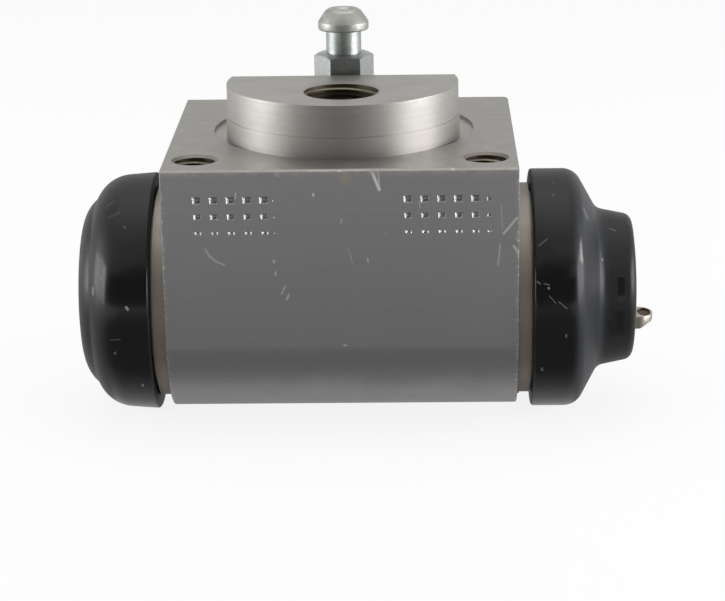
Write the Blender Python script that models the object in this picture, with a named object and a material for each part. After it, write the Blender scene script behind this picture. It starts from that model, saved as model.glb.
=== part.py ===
"""Hydraulic wheel cylinder of a drum brake, with its two pistons, dust boots and bleeder screw.

The origin is the centre of the pilot boss, level with the mounting face.
+Z is the way the mounting face looks, and X runs along the bore.
"""

from math import acos, atan2, ceil, cos, pi, radians, sin, sqrt, tan

import bmesh
import bpy
from mathutils import Matrix, Vector

MM = 0.001

# Clearances between pieces
SEAT_GAP = 0.3 * MM
BORE_CLEARANCE = 0.15 * MM
THREAD_CLEARANCE = 0.2 * MM
PAST_SURFACE = 2.0 * MM

# Housing: an extruded block with a round barrel below its mounting face
BODY_LENGTH = 51.6 * MM
BODY_DEPTH = 48.3 * MM
FRONT_TO_BORE = 17.0 * MM
BORE_DROP = 22.75 * MM
PILOT_TO_BORE = 6.75 * MM
BARREL_RADIUS = 17.4 * MM
FLANGE_THICKNESS = 13.0 * MM
FLANGE_FILLET = 5.0 * MM
BACK_CORNER = 2.0 * MM
EDGE_BREAK = 0.3 * MM

# Bore and the necks that carry the dust boots
BORE_RADIUS = 11.1 * MM
BORE_LEAD_IN = 0.8 * MM
NECK_LENGTH = 7.6 * MM
NECK_RADIUS = 15.85 * MM
NECK_CHAMFER = 0.8 * MM
NECK_ROOT_STEP = 0.25 * MM
NECK_ROOT_WIDTH = 0.4 * MM
BOOT_STANDOFF = 2.25 * MM
BOOT_LIP_WIDTH = 1.7 * MM
BOOT_GROOVE_DEPTH = 1.25 * MM

# Pilot boss, which centres the cylinder in its backplate, in a shallow off-centre recess
PILOT_RADIUS = 17.65 * MM
PILOT_HEIGHT = 7.9 * MM
PILOT_STEP_HEIGHT = 3.1 * MM
PILOT_STEP = 0.15 * MM
PILOT_FLAT = 4.2 * MM
PILOT_EDGE = 0.35 * MM
RECESS_RADIUS = 19.8 * MM
RECESS_BEHIND_PILOT = 3.1 * MM
RECESS_DEPTH = 0.5 * MM

# Fixing holes, for M6 screws
FIXING_SPACING = 42.4 * MM
FIXING_SETBACK = 6.65 * MM
FIXING_RADIUS = 3.0 * MM
FIXING_SINK = 0.4 * MM
FIXING_DEPTH = 11.0 * MM

# Inlet port, with the shallow dish round its mouth and the drilling below it
INLET_RADIUS = 5.6 * MM
INLET_DISH = 1.05 * MM
INLET_DISH_DEPTH = 0.2 * MM
INLET_DEPTH = 12.0 * MM
INLET_DRILL_RADIUS = 1.5 * MM
DRILL_POINT_ANGLE = radians(118)

# Bleeder port and screw, M7 x 1 with an 8 mm hexagon
BLEEDER_BEHIND_PILOT = 9.5 * MM
BLEEDER_THREAD_RADIUS = 3.5 * MM
BLEEDER_SINK = 0.4 * MM
BLEEDER_PORT_DEPTH = 8.5 * MM
BLEEDER_DRILL_RADIUS = 1.2 * MM
BLEEDER_SHANK_RELIEF = 0.65 * MM
BLEEDER_TIP_RADIUS = 1.2 * MM
BLEEDER_REST_TURN = radians(4.4)
BLEEDER_HEX_FLATS = 8.0 * MM
BLEEDER_HEX_TOP = 10.55 * MM
BLEEDER_HEX_HEIGHT = 5.6 * MM
BLEEDER_HEX_BEVEL = 0.5 * MM
BLEEDER_HEX_FACE_RADIUS = 3.2 * MM
BLEEDER_NECK_RADIUS = 2.7 * MM
NIPPLE_RADIUS = 3.88 * MM
NIPPLE_BAND = 1.2 * MM
NIPPLE_RIM_RADIUS = 2.3 * MM
NIPPLE_SHOULDER_RADIUS = 2.8 * MM
NIPPLE_SHOULDER_DROP = 0.35 * MM
NIPPLE_BASE = 14.1 * MM
NIPPLE_TOP = 17.25 * MM
NIPPLE_ROUND = 0.25 * MM
BLEEDER_BORE_RADIUS = 1.15 * MM
BLEEDER_CROSS_RADIUS = 0.8 * MM

# Pistons: how far each skirt stands out of its neck at rest, and the nose that holds the brake shoe
RIGHT_SKIRT_OUT = 3.3 * MM
LEFT_SKIRT_OUT = -3.7 * MM
SKIRT_LENGTH = 16.0 * MM
SKIRT_CHAMFER = 0.6 * MM
NOSE_RADIUS = 6.5 * MM
NOSE_FILLET = 1.2 * MM
NOSE_LENGTH = 6.8 * MM
NOSE_GROOVE_START = 3.0 * MM
NOSE_GROOVE_WIDTH = 2.0 * MM
NOSE_GROOVE_DEPTH = 0.9 * MM
SLOT_WIDTH = 8.2 * MM
SLOT_DEPTH = 1.1 * MM
LIP_REACH = 3.2 * MM
LIP_WIDTH = 5.3 * MM
LIP_END = 2.1 * MM
LIP_TAPER_LENGTH = 2.0 * MM
LIP_TAPER_DROP = 1.4 * MM
LIP_TIP_ROUND = 0.8 * MM

# Cup seals, their expanders and the spring between them
SEAL_LENGTH = 6.0 * MM
SEAL_BASE = 2.2 * MM
SEAL_HEEL_DROP = 0.45 * MM
SEAL_HEEL_ROUND = 0.5 * MM
SEAL_LIP_WALL = 0.7 * MM
SEAL_ROOT_WALL = 2.0 * MM
EXPANDER_SHEET = 0.7 * MM
EXPANDER_REACH = 2.4 * MM
EXPANDER_FLARE = 0.7 * MM
EXPANDER_ROUND = 0.6 * MM
SPIGOT_RADIUS = 4.4 * MM
SPIGOT_LENGTH = 3.4 * MM
SPRING_WIRE = 1.0 * MM
SPRING_RADIUS = 5.5 * MM
SPRING_CLOSED_TURNS = 1.25
SPRING_OPEN_TURNS = 4.5
SPRING_COIL_GAP = 0.15 * MM

# Dust boots
BOOT_SLEEVE = 1.8 * MM
BOOT_WALL = 1.4 * MM
BOOT_RIM_ROUND = 0.35 * MM
BEAD_WIDTH = 1.4 * MM
FOLD_CLEARANCE = 0.7 * MM
FOLD_ROUND = 0.6 * MM

# Right boot, drawn out into a nose tube past the end of the neck
DRAWN_SHOULDER = 1.35 * MM
DRAWN_SHOULDER_ROUND = 2.95 * MM
DRAWN_SLOPE_RUN = 3.3 * MM
DRAWN_ROOT_RADIUS = 11.95 * MM
DRAWN_ROOT_ROUND = 1.9 * MM
DRAWN_END_RADIUS = 10.9 * MM
DRAWN_END_ROUND = 1.45 * MM
DRAWN_REACH = 1.85 * MM
DRAWN_END_BULGE = 0.43 * MM

# Left boot, pressed in until it bulges round its folded nose
PRESSED_SHOULDER = 1.95 * MM
PRESSED_SHOULDER_RADIUS = 17.4 * MM
PRESSED_SHOULDER_ROUND = 5.6 * MM
PRESSED_CREASE = 3.75 * MM
PRESSED_CREASE_RADIUS = 14.05 * MM
PRESSED_CREASE_ROUND = 0.6 * MM
PRESSED_NOSE_RADIUS = 12.3 * MM
PRESSED_NOSE_ROUND = 5.7 * MM
PRESSED_REACH = 4.8 * MM

# Fineness of the round pieces
NECK_SEGMENTS = 60
BOOT_SEGMENTS = 36
BORE_SEGMENTS = 36
SMALL_SEGMENTS = 24
COIL_SEGMENTS = 12
ARC_TOLERANCE = 0.07 * MM
SMOOTH_ANGLE = radians(32)

# Places worked out from the sizes above
FRONT_Y = -PILOT_TO_BORE - FRONT_TO_BORE
BACK_Y = FRONT_Y + BODY_DEPTH
BORE_Y = -PILOT_TO_BORE
BORE_Z = -BORE_DROP
BODY_END = BODY_LENGTH / 2
NECK_END = BODY_END + NECK_LENGTH
BOOT_START = BODY_END + BOOT_STANDOFF
BOOT_RADIUS = NECK_RADIUS + SEAT_GAP + BOOT_SLEEVE
GROOVE_FLOOR = NECK_RADIUS - BOOT_GROOVE_DEPTH
PISTON_RADIUS = BORE_RADIUS - BORE_CLEARANCE
PISTON_TIP = SKIRT_LENGTH + NOSE_LENGTH + LIP_REACH
EXPANDER_FACE = -SEAT_GAP - SEAL_BASE - SEAT_GAP
TURN = 2 * pi


def arc(centre, radius, start, end, tolerance=ARC_TOLERANCE):
    """Points along an arc in an outline, from the angle start to the angle end."""
    step = 2 * acos(1 - min(tolerance / radius, 1))
    count = max(1, ceil(abs(end - start) / step))
    angles = [start + (end - start) * i / count for i in range(count + 1)]
    return [(centre[0] + radius * cos(angle), centre[1] + radius * sin(angle)) for angle in angles]


def rounded(corners):
    """A closed outline through corners, each (x, y) or (x, y, radius of its round).

    A round is made smaller where the edges beside it are too short for it.
    """
    count = len(corners)
    points = [Vector(corner[:2]) for corner in corners]
    edges = [points[(i + 1) % count] - points[i] for i in range(count)]
    half_turns = [edges[i - 1].angle(edges[i]) / 2 for i in range(count)]
    wanted = [corner[2] * tan(half) if len(corner) > 2 else 0 for corner, half in zip(corners, half_turns)]
    sums = [wanted[i] + wanted[(i + 1) % count] for i in range(count)]
    shares = [edge.length / max(edge.length, needed) for edge, needed in zip(edges, sums)]
    outline = []
    for i, here in enumerate(points):
        reach = wanted[i] * min(shares[i - 1], shares[i])
        if not reach:
            outline.append(tuple(here))
            continue
        first = here - edges[i - 1].normalized() * reach
        last = here + edges[i].normalized() * reach
        radius = reach / tan(half_turns[i])
        middle = here + ((first + last) / 2 - here).normalized() * radius / cos(half_turns[i])
        start = atan2(first.y - middle.y, first.x - middle.x)
        sweep = (atan2(last.y - middle.y, last.x - middle.x) - start + pi) % TURN - pi
        outline += arc(middle, radius, start, start + sweep)
    return outline


def inside_of(line, wall):
    """The inner corners of an even wall, in reverse order, from the corners along its outer side.

    The line keeps the wall on its right. Its first and last corners only aim its end edges.
    """
    inner = []
    for before, here, after in zip(line, line[1:], line[2:]):
        first = (Vector(here[:2]) - Vector(before[:2])).normalized()
        second = (Vector(after[:2]) - Vector(here[:2])).normalized()
        across = Vector((first.y + second.y, -first.x - second.x))
        place = Vector(here[:2]) + across * wall / (1 + first.dot(second))
        bends_out = first.x * second.y > first.y * second.x
        turn = here[2] + wall if bends_out else max(here[2] - wall, 0)
        inner.append((place.x, place.y, turn))
    return inner[::-1]


def material(name, colour, metallic, roughness):
    made = bpy.data.materials.new(name)
    made.use_nodes = True
    shader = made.node_tree.nodes["Principled BSDF"]
    shader.inputs["Base Color"].default_value = (*colour, 1)
    shader.inputs["Metallic"].default_value = metallic
    shader.inputs["Roughness"].default_value = roughness
    made.diffuse_color = (*colour, 1)
    return made


def add_object(name, mesh_data, parent=None, finish=None):
    made = bpy.data.objects.new(name, mesh_data)
    bpy.context.scene.collection.objects.link(made)
    made.parent = parent
    if finish:
        made.data.materials.append(finish)
    return made


def add_empty(name, place, turn=0):
    """An empty that carries a group of pieces, turned about its own Z."""
    made = add_object(name, None)
    made.location = place
    made.rotation_euler = (0, 0, turn)
    return made


def finish_mesh(name, built):
    bmesh.ops.remove_doubles(built, verts=built.verts, dist=1e-7)
    bmesh.ops.recalc_face_normals(built, faces=built.faces)
    mesh_data = bpy.data.meshes.new(name)
    built.to_mesh(mesh_data)
    built.free()
    mesh_data.shade_smooth()
    mesh_data.set_sharp_from_angle(angle=SMOOTH_ANGLE)
    return mesh_data


def turned(name, outline, axis, segments):
    """A solid of revolution about X or Z from a closed outline of (place along the axis, radius)."""
    built = bmesh.new()
    if axis == "X":
        points = [(along, 0, radius) for along, radius in outline]
        direction = Vector((1, 0, 0))
    else:
        points = [(radius, 0, along) for along, radius in outline]
        direction = Vector((0, 0, 1))
    verts = [built.verts.new(point) for point in points]
    for i, vert in enumerate(verts):
        on_axis = outline[i][1] == 0 and outline[i - 1][1] == 0
        if not on_axis:
            built.edges.new((verts[i - 1], vert))
    bmesh.ops.spin(
        built,
        geom=built.verts[:] + built.edges[:],
        cent=(0, 0, 0),
        axis=direction,
        angle=TURN,
        steps=segments,
        use_merge=True,
    )
    return finish_mesh(name, built)


def extruded(name, outline, length):
    """A prism along X, centred, from an outline of (y, z)."""
    built = bmesh.new()
    face = built.faces.new([built.verts.new((-length / 2, y, z)) for y, z in outline])
    swept = bmesh.ops.extrude_face_region(built, geom=[face])["geom"]
    moved = [item for item in swept if isinstance(item, bmesh.types.BMVert)]
    bmesh.ops.translate(built, verts=moved, vec=(length, 0, 0))
    return finish_mesh(name, built)


def block(name, low, high):
    built = bmesh.new()
    size = [b - a for a, b in zip(low, high)]
    middle = [(a + b) / 2 for a, b in zip(low, high)]
    place = Matrix.Translation(middle) @ Matrix.Diagonal((*size, 1))
    bmesh.ops.create_cube(built, size=1, matrix=place)
    return finish_mesh(name, built)


def hexagon(name, flats, low, high):
    """A hexagonal bar along Z with two of its flats facing Y."""
    built = bmesh.new()
    middle = Matrix.Translation((0, 0, (low + high) / 2))
    corner = flats / 2 / cos(pi / 6)
    bmesh.ops.create_cone(
        built,
        cap_ends=True,
        segments=6,
        radius1=corner,
        radius2=corner,
        depth=high - low,
        matrix=middle @ Matrix.Rotation(pi / 6, 4, "Z"),
    )
    return finish_mesh(name, built)


def shape_with(target, operation, mesh_data, place=(0, 0, 0), turn=(0, 0, 0), parent=None):
    """Joins, cuts or trims the target with a helper solid, which is left out of the render."""
    helper = add_object(mesh_data.name, mesh_data, parent)
    helper.location = place
    helper.rotation_euler = turn
    helper.hide_render = True
    helper.display_type = "WIRE"
    boolean = target.modifiers.new(mesh_data.name, "BOOLEAN")
    boolean.operation = operation
    boolean.object = helper
    boolean.solver = "EXACT"
    return helper


def drill_point(radius, end_radius=0.0):
    """How far a drill's cone reaches as it narrows from radius to end_radius."""
    return (radius - end_radius) / tan(DRILL_POINT_ANGLE / 2)


def body_outline():
    """The extrusion's section: flat in front and on top, round below, with a thick rear flange."""
    bore = (BORE_Y, BORE_Z)
    flat_drop = sqrt(max(BARREL_RADIUS**2 - FRONT_TO_BORE**2, 0))
    front_angle = pi + atan2(flat_drop, FRONT_TO_BORE)
    rise = BORE_DROP - FLANGE_THICKNESS - FLANGE_FILLET
    spread = BARREL_RADIUS + FLANGE_FILLET
    run = sqrt(spread**2 - rise**2)
    fillet_angle = atan2(rise, run)
    fillet_centre = (BORE_Y + run, BORE_Z + rise)
    outline = [(FRONT_Y + EDGE_BREAK, 0), (FRONT_Y, -EDGE_BREAK)]
    outline += arc(bore, BARREL_RADIUS, front_angle, TURN + fillet_angle)
    outline += arc(fillet_centre, FLANGE_FILLET, pi + fillet_angle, pi / 2)
    corner = (BACK_Y - BACK_CORNER, -FLANGE_THICKNESS + BACK_CORNER)
    outline += arc(corner, BACK_CORNER, -pi / 2, 0)
    outline += [(BACK_Y, -EDGE_BREAK), (BACK_Y - EDGE_BREAK, 0)]
    return outline


def neck_outline():
    """Both necks as one bar through the body, each with the groove that its boot snaps into."""
    groove_start = BOOT_START - SEAT_GAP
    groove_end = BOOT_START + BOOT_LIP_WIDTH + SEAT_GAP
    root_end = BODY_END + NECK_ROOT_WIDTH
    right = [
        (root_end, NECK_RADIUS + NECK_ROOT_STEP),
        (root_end, NECK_RADIUS),
        (groove_start, NECK_RADIUS),
        (groove_start, GROOVE_FLOOR),
        (groove_end, GROOVE_FLOOR),
        (groove_end, NECK_RADIUS),
        (NECK_END - NECK_CHAMFER, NECK_RADIUS),
        (NECK_END, NECK_RADIUS - NECK_CHAMFER),
        (NECK_END, 0),
    ]
    left = [(-along, radius) for along, radius in reversed(right)]
    return left + right


def bore_outline():
    """The bore with a lead-in at each mouth, running past both necks."""
    past = NECK_END + PAST_SURFACE
    mouth = BORE_RADIUS + BORE_LEAD_IN
    right = [(NECK_END - BORE_LEAD_IN, BORE_RADIUS), (NECK_END, mouth), (past, mouth), (past, 0)]
    left = [(-along, radius) for along, radius in reversed(right)]
    return left + right


def port_outline(top, radius, sink, sink_depth, depth, drill_radius=0.0):
    """A port below the level top, countersunk at its mouth and with a drill's cone at its bottom."""
    above = top + PAST_SURFACE
    bottom = top - depth
    return [
        (above, 0),
        (above, radius + sink),
        (top, radius + sink),
        (top - sink_depth, radius),
        (bottom, radius),
        (bottom - drill_point(radius, drill_radius), drill_radius),
    ]


def add_pilot(housing):
    """The turned boss with its flat back, standing in the shallow recess."""
    above = PILOT_HEIGHT + PAST_SURFACE
    recess = [(-RECESS_DEPTH, 0), (-RECESS_DEPTH, RECESS_RADIUS), (above, RECESS_RADIUS), (above, 0)]
    recess_mesh = turned("mounting_recess", recess, "Z", NECK_SEGMENTS)
    shape_with(housing, "DIFFERENCE", recess_mesh, (0, RECESS_BEHIND_PILOT, 0))

    upper = PILOT_RADIUS - PILOT_STEP
    foot = -RECESS_DEPTH - PAST_SURFACE
    pilot = [
        (foot, 0),
        (foot, PILOT_RADIUS),
        (PILOT_STEP_HEIGHT, PILOT_RADIUS),
        (PILOT_STEP_HEIGHT + PILOT_STEP, upper),
        (PILOT_HEIGHT - PILOT_EDGE, upper),
        (PILOT_HEIGHT, upper - PILOT_EDGE),
        (PILOT_HEIGHT, 0),
    ]
    boss = shape_with(housing, "UNION", turned("pilot_boss", pilot, "Z", NECK_SEGMENTS))
    behind = PILOT_RADIUS + PAST_SURFACE
    flat = block("pilot_flat", (-behind, PILOT_FLAT, -RECESS_DEPTH), (behind, behind, above))
    shape_with(boss, "DIFFERENCE", flat)


def cut_bleeder_drilling(housing):
    """A slanted drilling from the bleeder port to the rear of the bore, its highest point on a car."""
    mouth = Vector((0, BLEEDER_BEHIND_PILOT + BLEEDER_THREAD_RADIUS - BLEEDER_DRILL_RADIUS, 0))
    target = Vector((0, BORE_Y + BORE_RADIUS, BORE_Z))
    slant = atan2(mouth.y - target.y, mouth.z - target.z)
    start = -BLEEDER_PORT_DEPTH / 2
    end = -(mouth - target).length - BLEEDER_DRILL_RADIUS
    outline = [(start, 0), (start, BLEEDER_DRILL_RADIUS), (end, BLEEDER_DRILL_RADIUS), (end, 0)]
    drill = turned("bleeder_drilling", outline, "Z", COIL_SEGMENTS)
    shape_with(housing, "DIFFERENCE", drill, mouth, (-slant, 0, 0))


def make_housing(finish):
    bore_place = (0, BORE_Y, BORE_Z)
    housing = add_object("housing", extruded("housing", body_outline(), BODY_LENGTH), None, finish)
    shape_with(housing, "UNION", turned("neck_bar", neck_outline(), "X", NECK_SEGMENTS), bore_place)
    add_pilot(housing)

    shape_with(housing, "DIFFERENCE", turned("bore", bore_outline(), "X", BORE_SEGMENTS), bore_place)
    inlet_end = BORE_Z + BORE_RADIUS - PAST_SURFACE
    inlet = port_outline(
        PILOT_HEIGHT, INLET_RADIUS, INLET_DISH, INLET_DISH_DEPTH, INLET_DEPTH, INLET_DRILL_RADIUS
    )
    inlet += [(inlet_end, INLET_DRILL_RADIUS), (inlet_end, 0)]
    shape_with(housing, "DIFFERENCE", turned("inlet_port", inlet, "Z", BORE_SEGMENTS), (0, BORE_Y, 0))

    bleeder = port_outline(
        -RECESS_DEPTH, BLEEDER_THREAD_RADIUS, BLEEDER_SINK, BLEEDER_SINK, BLEEDER_PORT_DEPTH
    )
    bleeder_place = (0, BLEEDER_BEHIND_PILOT, 0)
    shape_with(housing, "DIFFERENCE", turned("bleeder_port", bleeder, "Z", SMALL_SEGMENTS), bleeder_place)
    cut_bleeder_drilling(housing)

    fixing = port_outline(0, FIXING_RADIUS, FIXING_SINK, FIXING_SINK, FIXING_DEPTH)
    for side, across in (("right", FIXING_SPACING / 2), ("left", -FIXING_SPACING / 2)):
        hole = turned("fixing_hole_" + side, fixing, "Z", SMALL_SEGMENTS)
        shape_with(housing, "DIFFERENCE", hole, (across, FRONT_Y + FIXING_SETBACK, 0))


def bleeder_seat(radius):
    """The level where the screw's tip, at this radius, lies a seat gap above the port's cone."""
    bottom = -RECESS_DEPTH - BLEEDER_PORT_DEPTH
    return bottom - drill_point(BLEEDER_THREAD_RADIUS, radius) + SEAT_GAP / sin(DRILL_POINT_ANGLE / 2)


def bleeder_outline():
    shank = BLEEDER_THREAD_RADIUS - THREAD_CLEARANCE
    relief = shank - BLEEDER_SHANK_RELIEF
    tip = bleeder_seat(BLEEDER_TIP_RADIUS)
    thread_start = bleeder_seat(shank) + 2 * BLEEDER_SHANK_RELIEF
    head_middle = BLEEDER_HEX_TOP - BLEEDER_HEX_HEIGHT / 2
    return [
        (tip, 0),
        (tip, BLEEDER_TIP_RADIUS),
        (bleeder_seat(relief), relief),
        (thread_start, relief),
        (thread_start + BLEEDER_SHANK_RELIEF, shank),
        (head_middle, shank),
        (head_middle, BLEEDER_NECK_RADIUS),
        (NIPPLE_BASE, BLEEDER_NECK_RADIUS),
        (NIPPLE_BASE, NIPPLE_RADIUS, NIPPLE_ROUND),
        (NIPPLE_BASE + NIPPLE_BAND, NIPPLE_RADIUS, NIPPLE_ROUND),
        (NIPPLE_TOP - NIPPLE_SHOULDER_DROP, NIPPLE_SHOULDER_RADIUS),
        (NIPPLE_TOP, NIPPLE_RIM_RADIUS),
        (NIPPLE_TOP, 0),
    ]


def make_bleeder(finish):
    """The bleeder screw, on the axis it turns about: a cone tip, a hexagon and a hose nipple."""
    axis = add_empty("bleeder_axis", (0, BLEEDER_BEHIND_PILOT, 0), BLEEDER_REST_TURN)
    stem = turned("bleeder_screw", rounded(bleeder_outline()), "Z", SMALL_SEGMENTS)
    screw = add_object("bleeder_screw", stem, axis, finish)

    hex_low = BLEEDER_HEX_TOP - BLEEDER_HEX_HEIGHT
    bar = hexagon("bleeder_hexagon", BLEEDER_HEX_FLATS, hex_low, BLEEDER_HEX_TOP + PAST_SURFACE)
    head = shape_with(screw, "UNION", bar, parent=axis)
    corner = BLEEDER_HEX_FLATS / 2 / cos(pi / 6)
    slope = BLEEDER_HEX_BEVEL / (corner - BLEEDER_HEX_FACE_RADIUS)
    outside = corner + PAST_SURFACE
    trim = [
        (hex_low - PAST_SURFACE, 0),
        (hex_low - PAST_SURFACE, outside),
        (BLEEDER_HEX_TOP - slope * (outside - BLEEDER_HEX_FACE_RADIUS), outside),
        (BLEEDER_HEX_TOP, BLEEDER_HEX_FACE_RADIUS),
        (BLEEDER_HEX_TOP, 0),
    ]
    shape_with(head, "INTERSECT", turned("hexagon_trim", trim, "Z", BORE_SEGMENTS), parent=axis)

    cross_level = bleeder_seat(BLEEDER_THREAD_RADIUS) + BLEEDER_CROSS_RADIUS
    above = NIPPLE_TOP + PAST_SURFACE
    passage = [
        (cross_level, 0),
        (cross_level, BLEEDER_BORE_RADIUS),
        (above, BLEEDER_BORE_RADIUS),
        (above, 0),
    ]
    shape_with(screw, "DIFFERENCE", turned("bleeder_passage", passage, "Z", COIL_SEGMENTS), parent=axis)
    across = 2 * BLEEDER_THREAD_RADIUS
    cross = [(-across, 0), (-across, BLEEDER_CROSS_RADIUS), (across, BLEEDER_CROSS_RADIUS), (across, 0)]
    hole = turned("bleeder_cross_hole", cross, "X", COIL_SEGMENTS)
    shape_with(screw, "DIFFERENCE", hole, (0, 0, cross_level), parent=axis)


def piston_outline():
    """The piston from its inner face: skirt, shoulder, and a nose with the groove for the boot's bead."""
    groove = SKIRT_LENGTH + NOSE_GROOVE_START
    groove_end = groove + NOSE_GROOVE_WIDTH
    floor = NOSE_RADIUS - NOSE_GROOVE_DEPTH
    return rounded([
        (0, 0),
        (0, PISTON_RADIUS - SKIRT_CHAMFER),
        (SKIRT_CHAMFER, PISTON_RADIUS),
        (SKIRT_LENGTH - SKIRT_CHAMFER, PISTON_RADIUS),
        (SKIRT_LENGTH, PISTON_RADIUS - SKIRT_CHAMFER),
        (SKIRT_LENGTH, NOSE_RADIUS, NOSE_FILLET),
        (groove, NOSE_RADIUS),
        (groove, floor),
        (groove_end, floor),
        (groove_end, NOSE_RADIUS),
        (PISTON_TIP - LIP_TAPER_LENGTH, NOSE_RADIUS),
        (PISTON_TIP, NOSE_RADIUS - LIP_TAPER_DROP, LIP_TIP_ROUND),
        (PISTON_TIP, 0),
    ])


def lip_surround(name, nose_end, past, wide):
    """What is cut away round the lower lip: in plan it leaves a tongue whose end is half an ellipse."""
    half_turn = arc((0, 0), 1, pi / 2, -pi / 2, ARC_TOLERANCE / LIP_WIDTH)
    shoulder = PISTON_TIP - LIP_END
    tongue = [(shoulder + LIP_END * along, LIP_WIDTH / 2 * across) for along, across in half_turn]
    plan = [(nose_end, -wide), (past, -wide), (past, wide), (nose_end, wide), (nose_end, LIP_WIDTH / 2)]
    plan += tongue + [(nose_end, -LIP_WIDTH / 2)]
    return extruded(name, [(across, along) for along, across in plan], wide)


def make_piston(side, carrier, finish):
    """A piston whose nose has a slot for the shoe's web, with its lower lip longer than the upper."""
    name = "piston_" + side
    piston = add_object(name, turned(name, piston_outline(), "X", BORE_SEGMENTS), carrier, finish)
    past = PISTON_TIP + PAST_SURFACE
    wide = NOSE_RADIUS + PAST_SURFACE
    nose_end = SKIRT_LENGTH + NOSE_LENGTH
    slot_floor = nose_end - SLOT_DEPTH
    cuts = {
        "slot": ((slot_floor, -wide, -SLOT_WIDTH / 2), (past, wide, SLOT_WIDTH / 2)),
        "short_lip": ((nose_end, -wide, 0), (past, wide, wide)),
    }
    for label, (low, high) in cuts.items():
        shape_with(piston, "DIFFERENCE", block(f"{label}_{side}", low, high), parent=carrier)
    surround = lip_surround("lip_surround_" + side, nose_end, past, wide)
    shape_with(piston, "DIFFERENCE", surround, (0, 0, -wide / 2), (0, pi / 2, 0), carrier)


def make_seal(side, carrier, finish):
    """The rubber cup behind a piston, its lip open towards the fluid."""
    back = -SEAT_GAP
    floor = back - SEAL_BASE
    lip = back - SEAL_LENGTH
    outline = [
        (back, 0),
        (back, PISTON_RADIUS - SEAL_HEEL_DROP, SEAL_HEEL_ROUND),
        (lip, PISTON_RADIUS),
        (lip, PISTON_RADIUS - SEAL_LIP_WALL),
        (floor, PISTON_RADIUS - SEAL_ROOT_WALL, SEAL_HEEL_ROUND),
        (floor, 0),
    ]
    name = "cup_seal_" + side
    add_object(name, turned(name, rounded(outline), "X", BORE_SEGMENTS), carrier, finish)


def make_expander(side, carrier, finish):
    """The pressed cup that spreads the seal's lip and centres the spring on its spigot."""
    face = EXPANDER_FACE
    sheet = EXPANDER_SHEET
    edge = PISTON_RADIUS - SEAL_ROOT_WALL - 2 * SEAT_GAP
    rim = face - EXPANDER_REACH
    spigot_end = face - SPIGOT_LENGTH
    outline = [
        (face, 0),
        (face, edge, EXPANDER_ROUND),
        (rim, edge + EXPANDER_FLARE),
        (rim, edge + EXPANDER_FLARE - sheet),
        (face - sheet, edge - sheet),
        (face - sheet, SPIGOT_RADIUS),
        (spigot_end, SPIGOT_RADIUS, EXPANDER_ROUND),
        (spigot_end, SPIGOT_RADIUS - 2 * sheet),
        (face - sheet, SPIGOT_RADIUS - 2 * sheet),
        (face - sheet, 0),
    ]
    name = "cup_expander_" + side
    add_object(name, turned(name, rounded(outline), "X", SMALL_SEGMENTS), carrier, finish)


def make_spring(start, end, parent, finish):
    """A compression spring with closed end turns, between start and end along the bore."""
    seat = SPRING_WIRE / 2 + SEAT_GAP
    start += seat
    end -= seat
    closed_pitch = SPRING_WIRE + SPRING_COIL_GAP
    open_pitch = (end - start - 2 * SPRING_CLOSED_TURNS * closed_pitch) / SPRING_OPEN_TURNS
    turns = 2 * SPRING_CLOSED_TURNS + SPRING_OPEN_TURNS
    steps = ceil(turns * COIL_SEGMENTS)
    curve = bpy.data.curves.new("spring", "CURVE")
    curve.dimensions = "3D"
    curve.bevel_depth = SPRING_WIRE / 2
    curve.bevel_resolution = 1
    curve.use_fill_caps = True
    wire = curve.splines.new("POLY")
    wire.points.add(steps)
    for i, point in enumerate(wire.points):
        turn = turns * i / steps
        opened = min(max(turn - SPRING_CLOSED_TURNS, 0), SPRING_OPEN_TURNS)
        along = start + (turn - opened) * closed_pitch + opened * open_pitch
        angle = turn * TURN
        point.co = (along, SPRING_RADIUS * cos(angle), SPRING_RADIUS * sin(angle), 1)
    add_object("spring", curve, parent, finish)


def boot_foot():
    """The part of both boots that grips the neck, from its lip in the groove round to its outer rim."""
    sleeve = BOOT_RADIUS - BOOT_SLEEVE
    lip = GROOVE_FLOOR + SEAT_GAP
    lip_end = BOOT_START + BOOT_LIP_WIDTH
    return [
        (lip_end, sleeve),
        (lip_end, lip, BOOT_RIM_ROUND),
        (BOOT_START, lip, BOOT_RIM_ROUND),
        (BOOT_START, BOOT_RADIUS, BOOT_RIM_ROUND),
    ]


def boot_bead(bead_start):
    """The fold back over the nose to the bead in its groove, from the open side round to the cavity."""
    hold = NOSE_RADIUS - NOSE_GROOVE_DEPTH + SEAT_GAP
    fold = NOSE_RADIUS + FOLD_CLEARANCE
    return [
        (bead_start + BEAD_WIDTH, fold, BOOT_RIM_ROUND),
        (bead_start + BEAD_WIDTH, hold, BOOT_RIM_ROUND),
        (bead_start, hold, BOOT_RIM_ROUND),
        (bead_start, fold + BOOT_WALL, BOOT_RIM_ROUND),
    ]


def drawn_boot_corners(bead_end, fold):
    """The outer side with the piston out: a shoulder, a steep slope and a nose tube folded in at its end."""
    shoulder = NECK_END + DRAWN_SHOULDER
    ring = bead_end + DRAWN_REACH
    return [
        (shoulder, BOOT_RADIUS, DRAWN_SHOULDER_ROUND),
        (shoulder + DRAWN_SLOPE_RUN, DRAWN_ROOT_RADIUS, DRAWN_ROOT_ROUND),
        (ring, DRAWN_END_RADIUS, DRAWN_END_ROUND),
        (ring + DRAWN_END_BULGE, fold, FOLD_ROUND),
    ]


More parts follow.
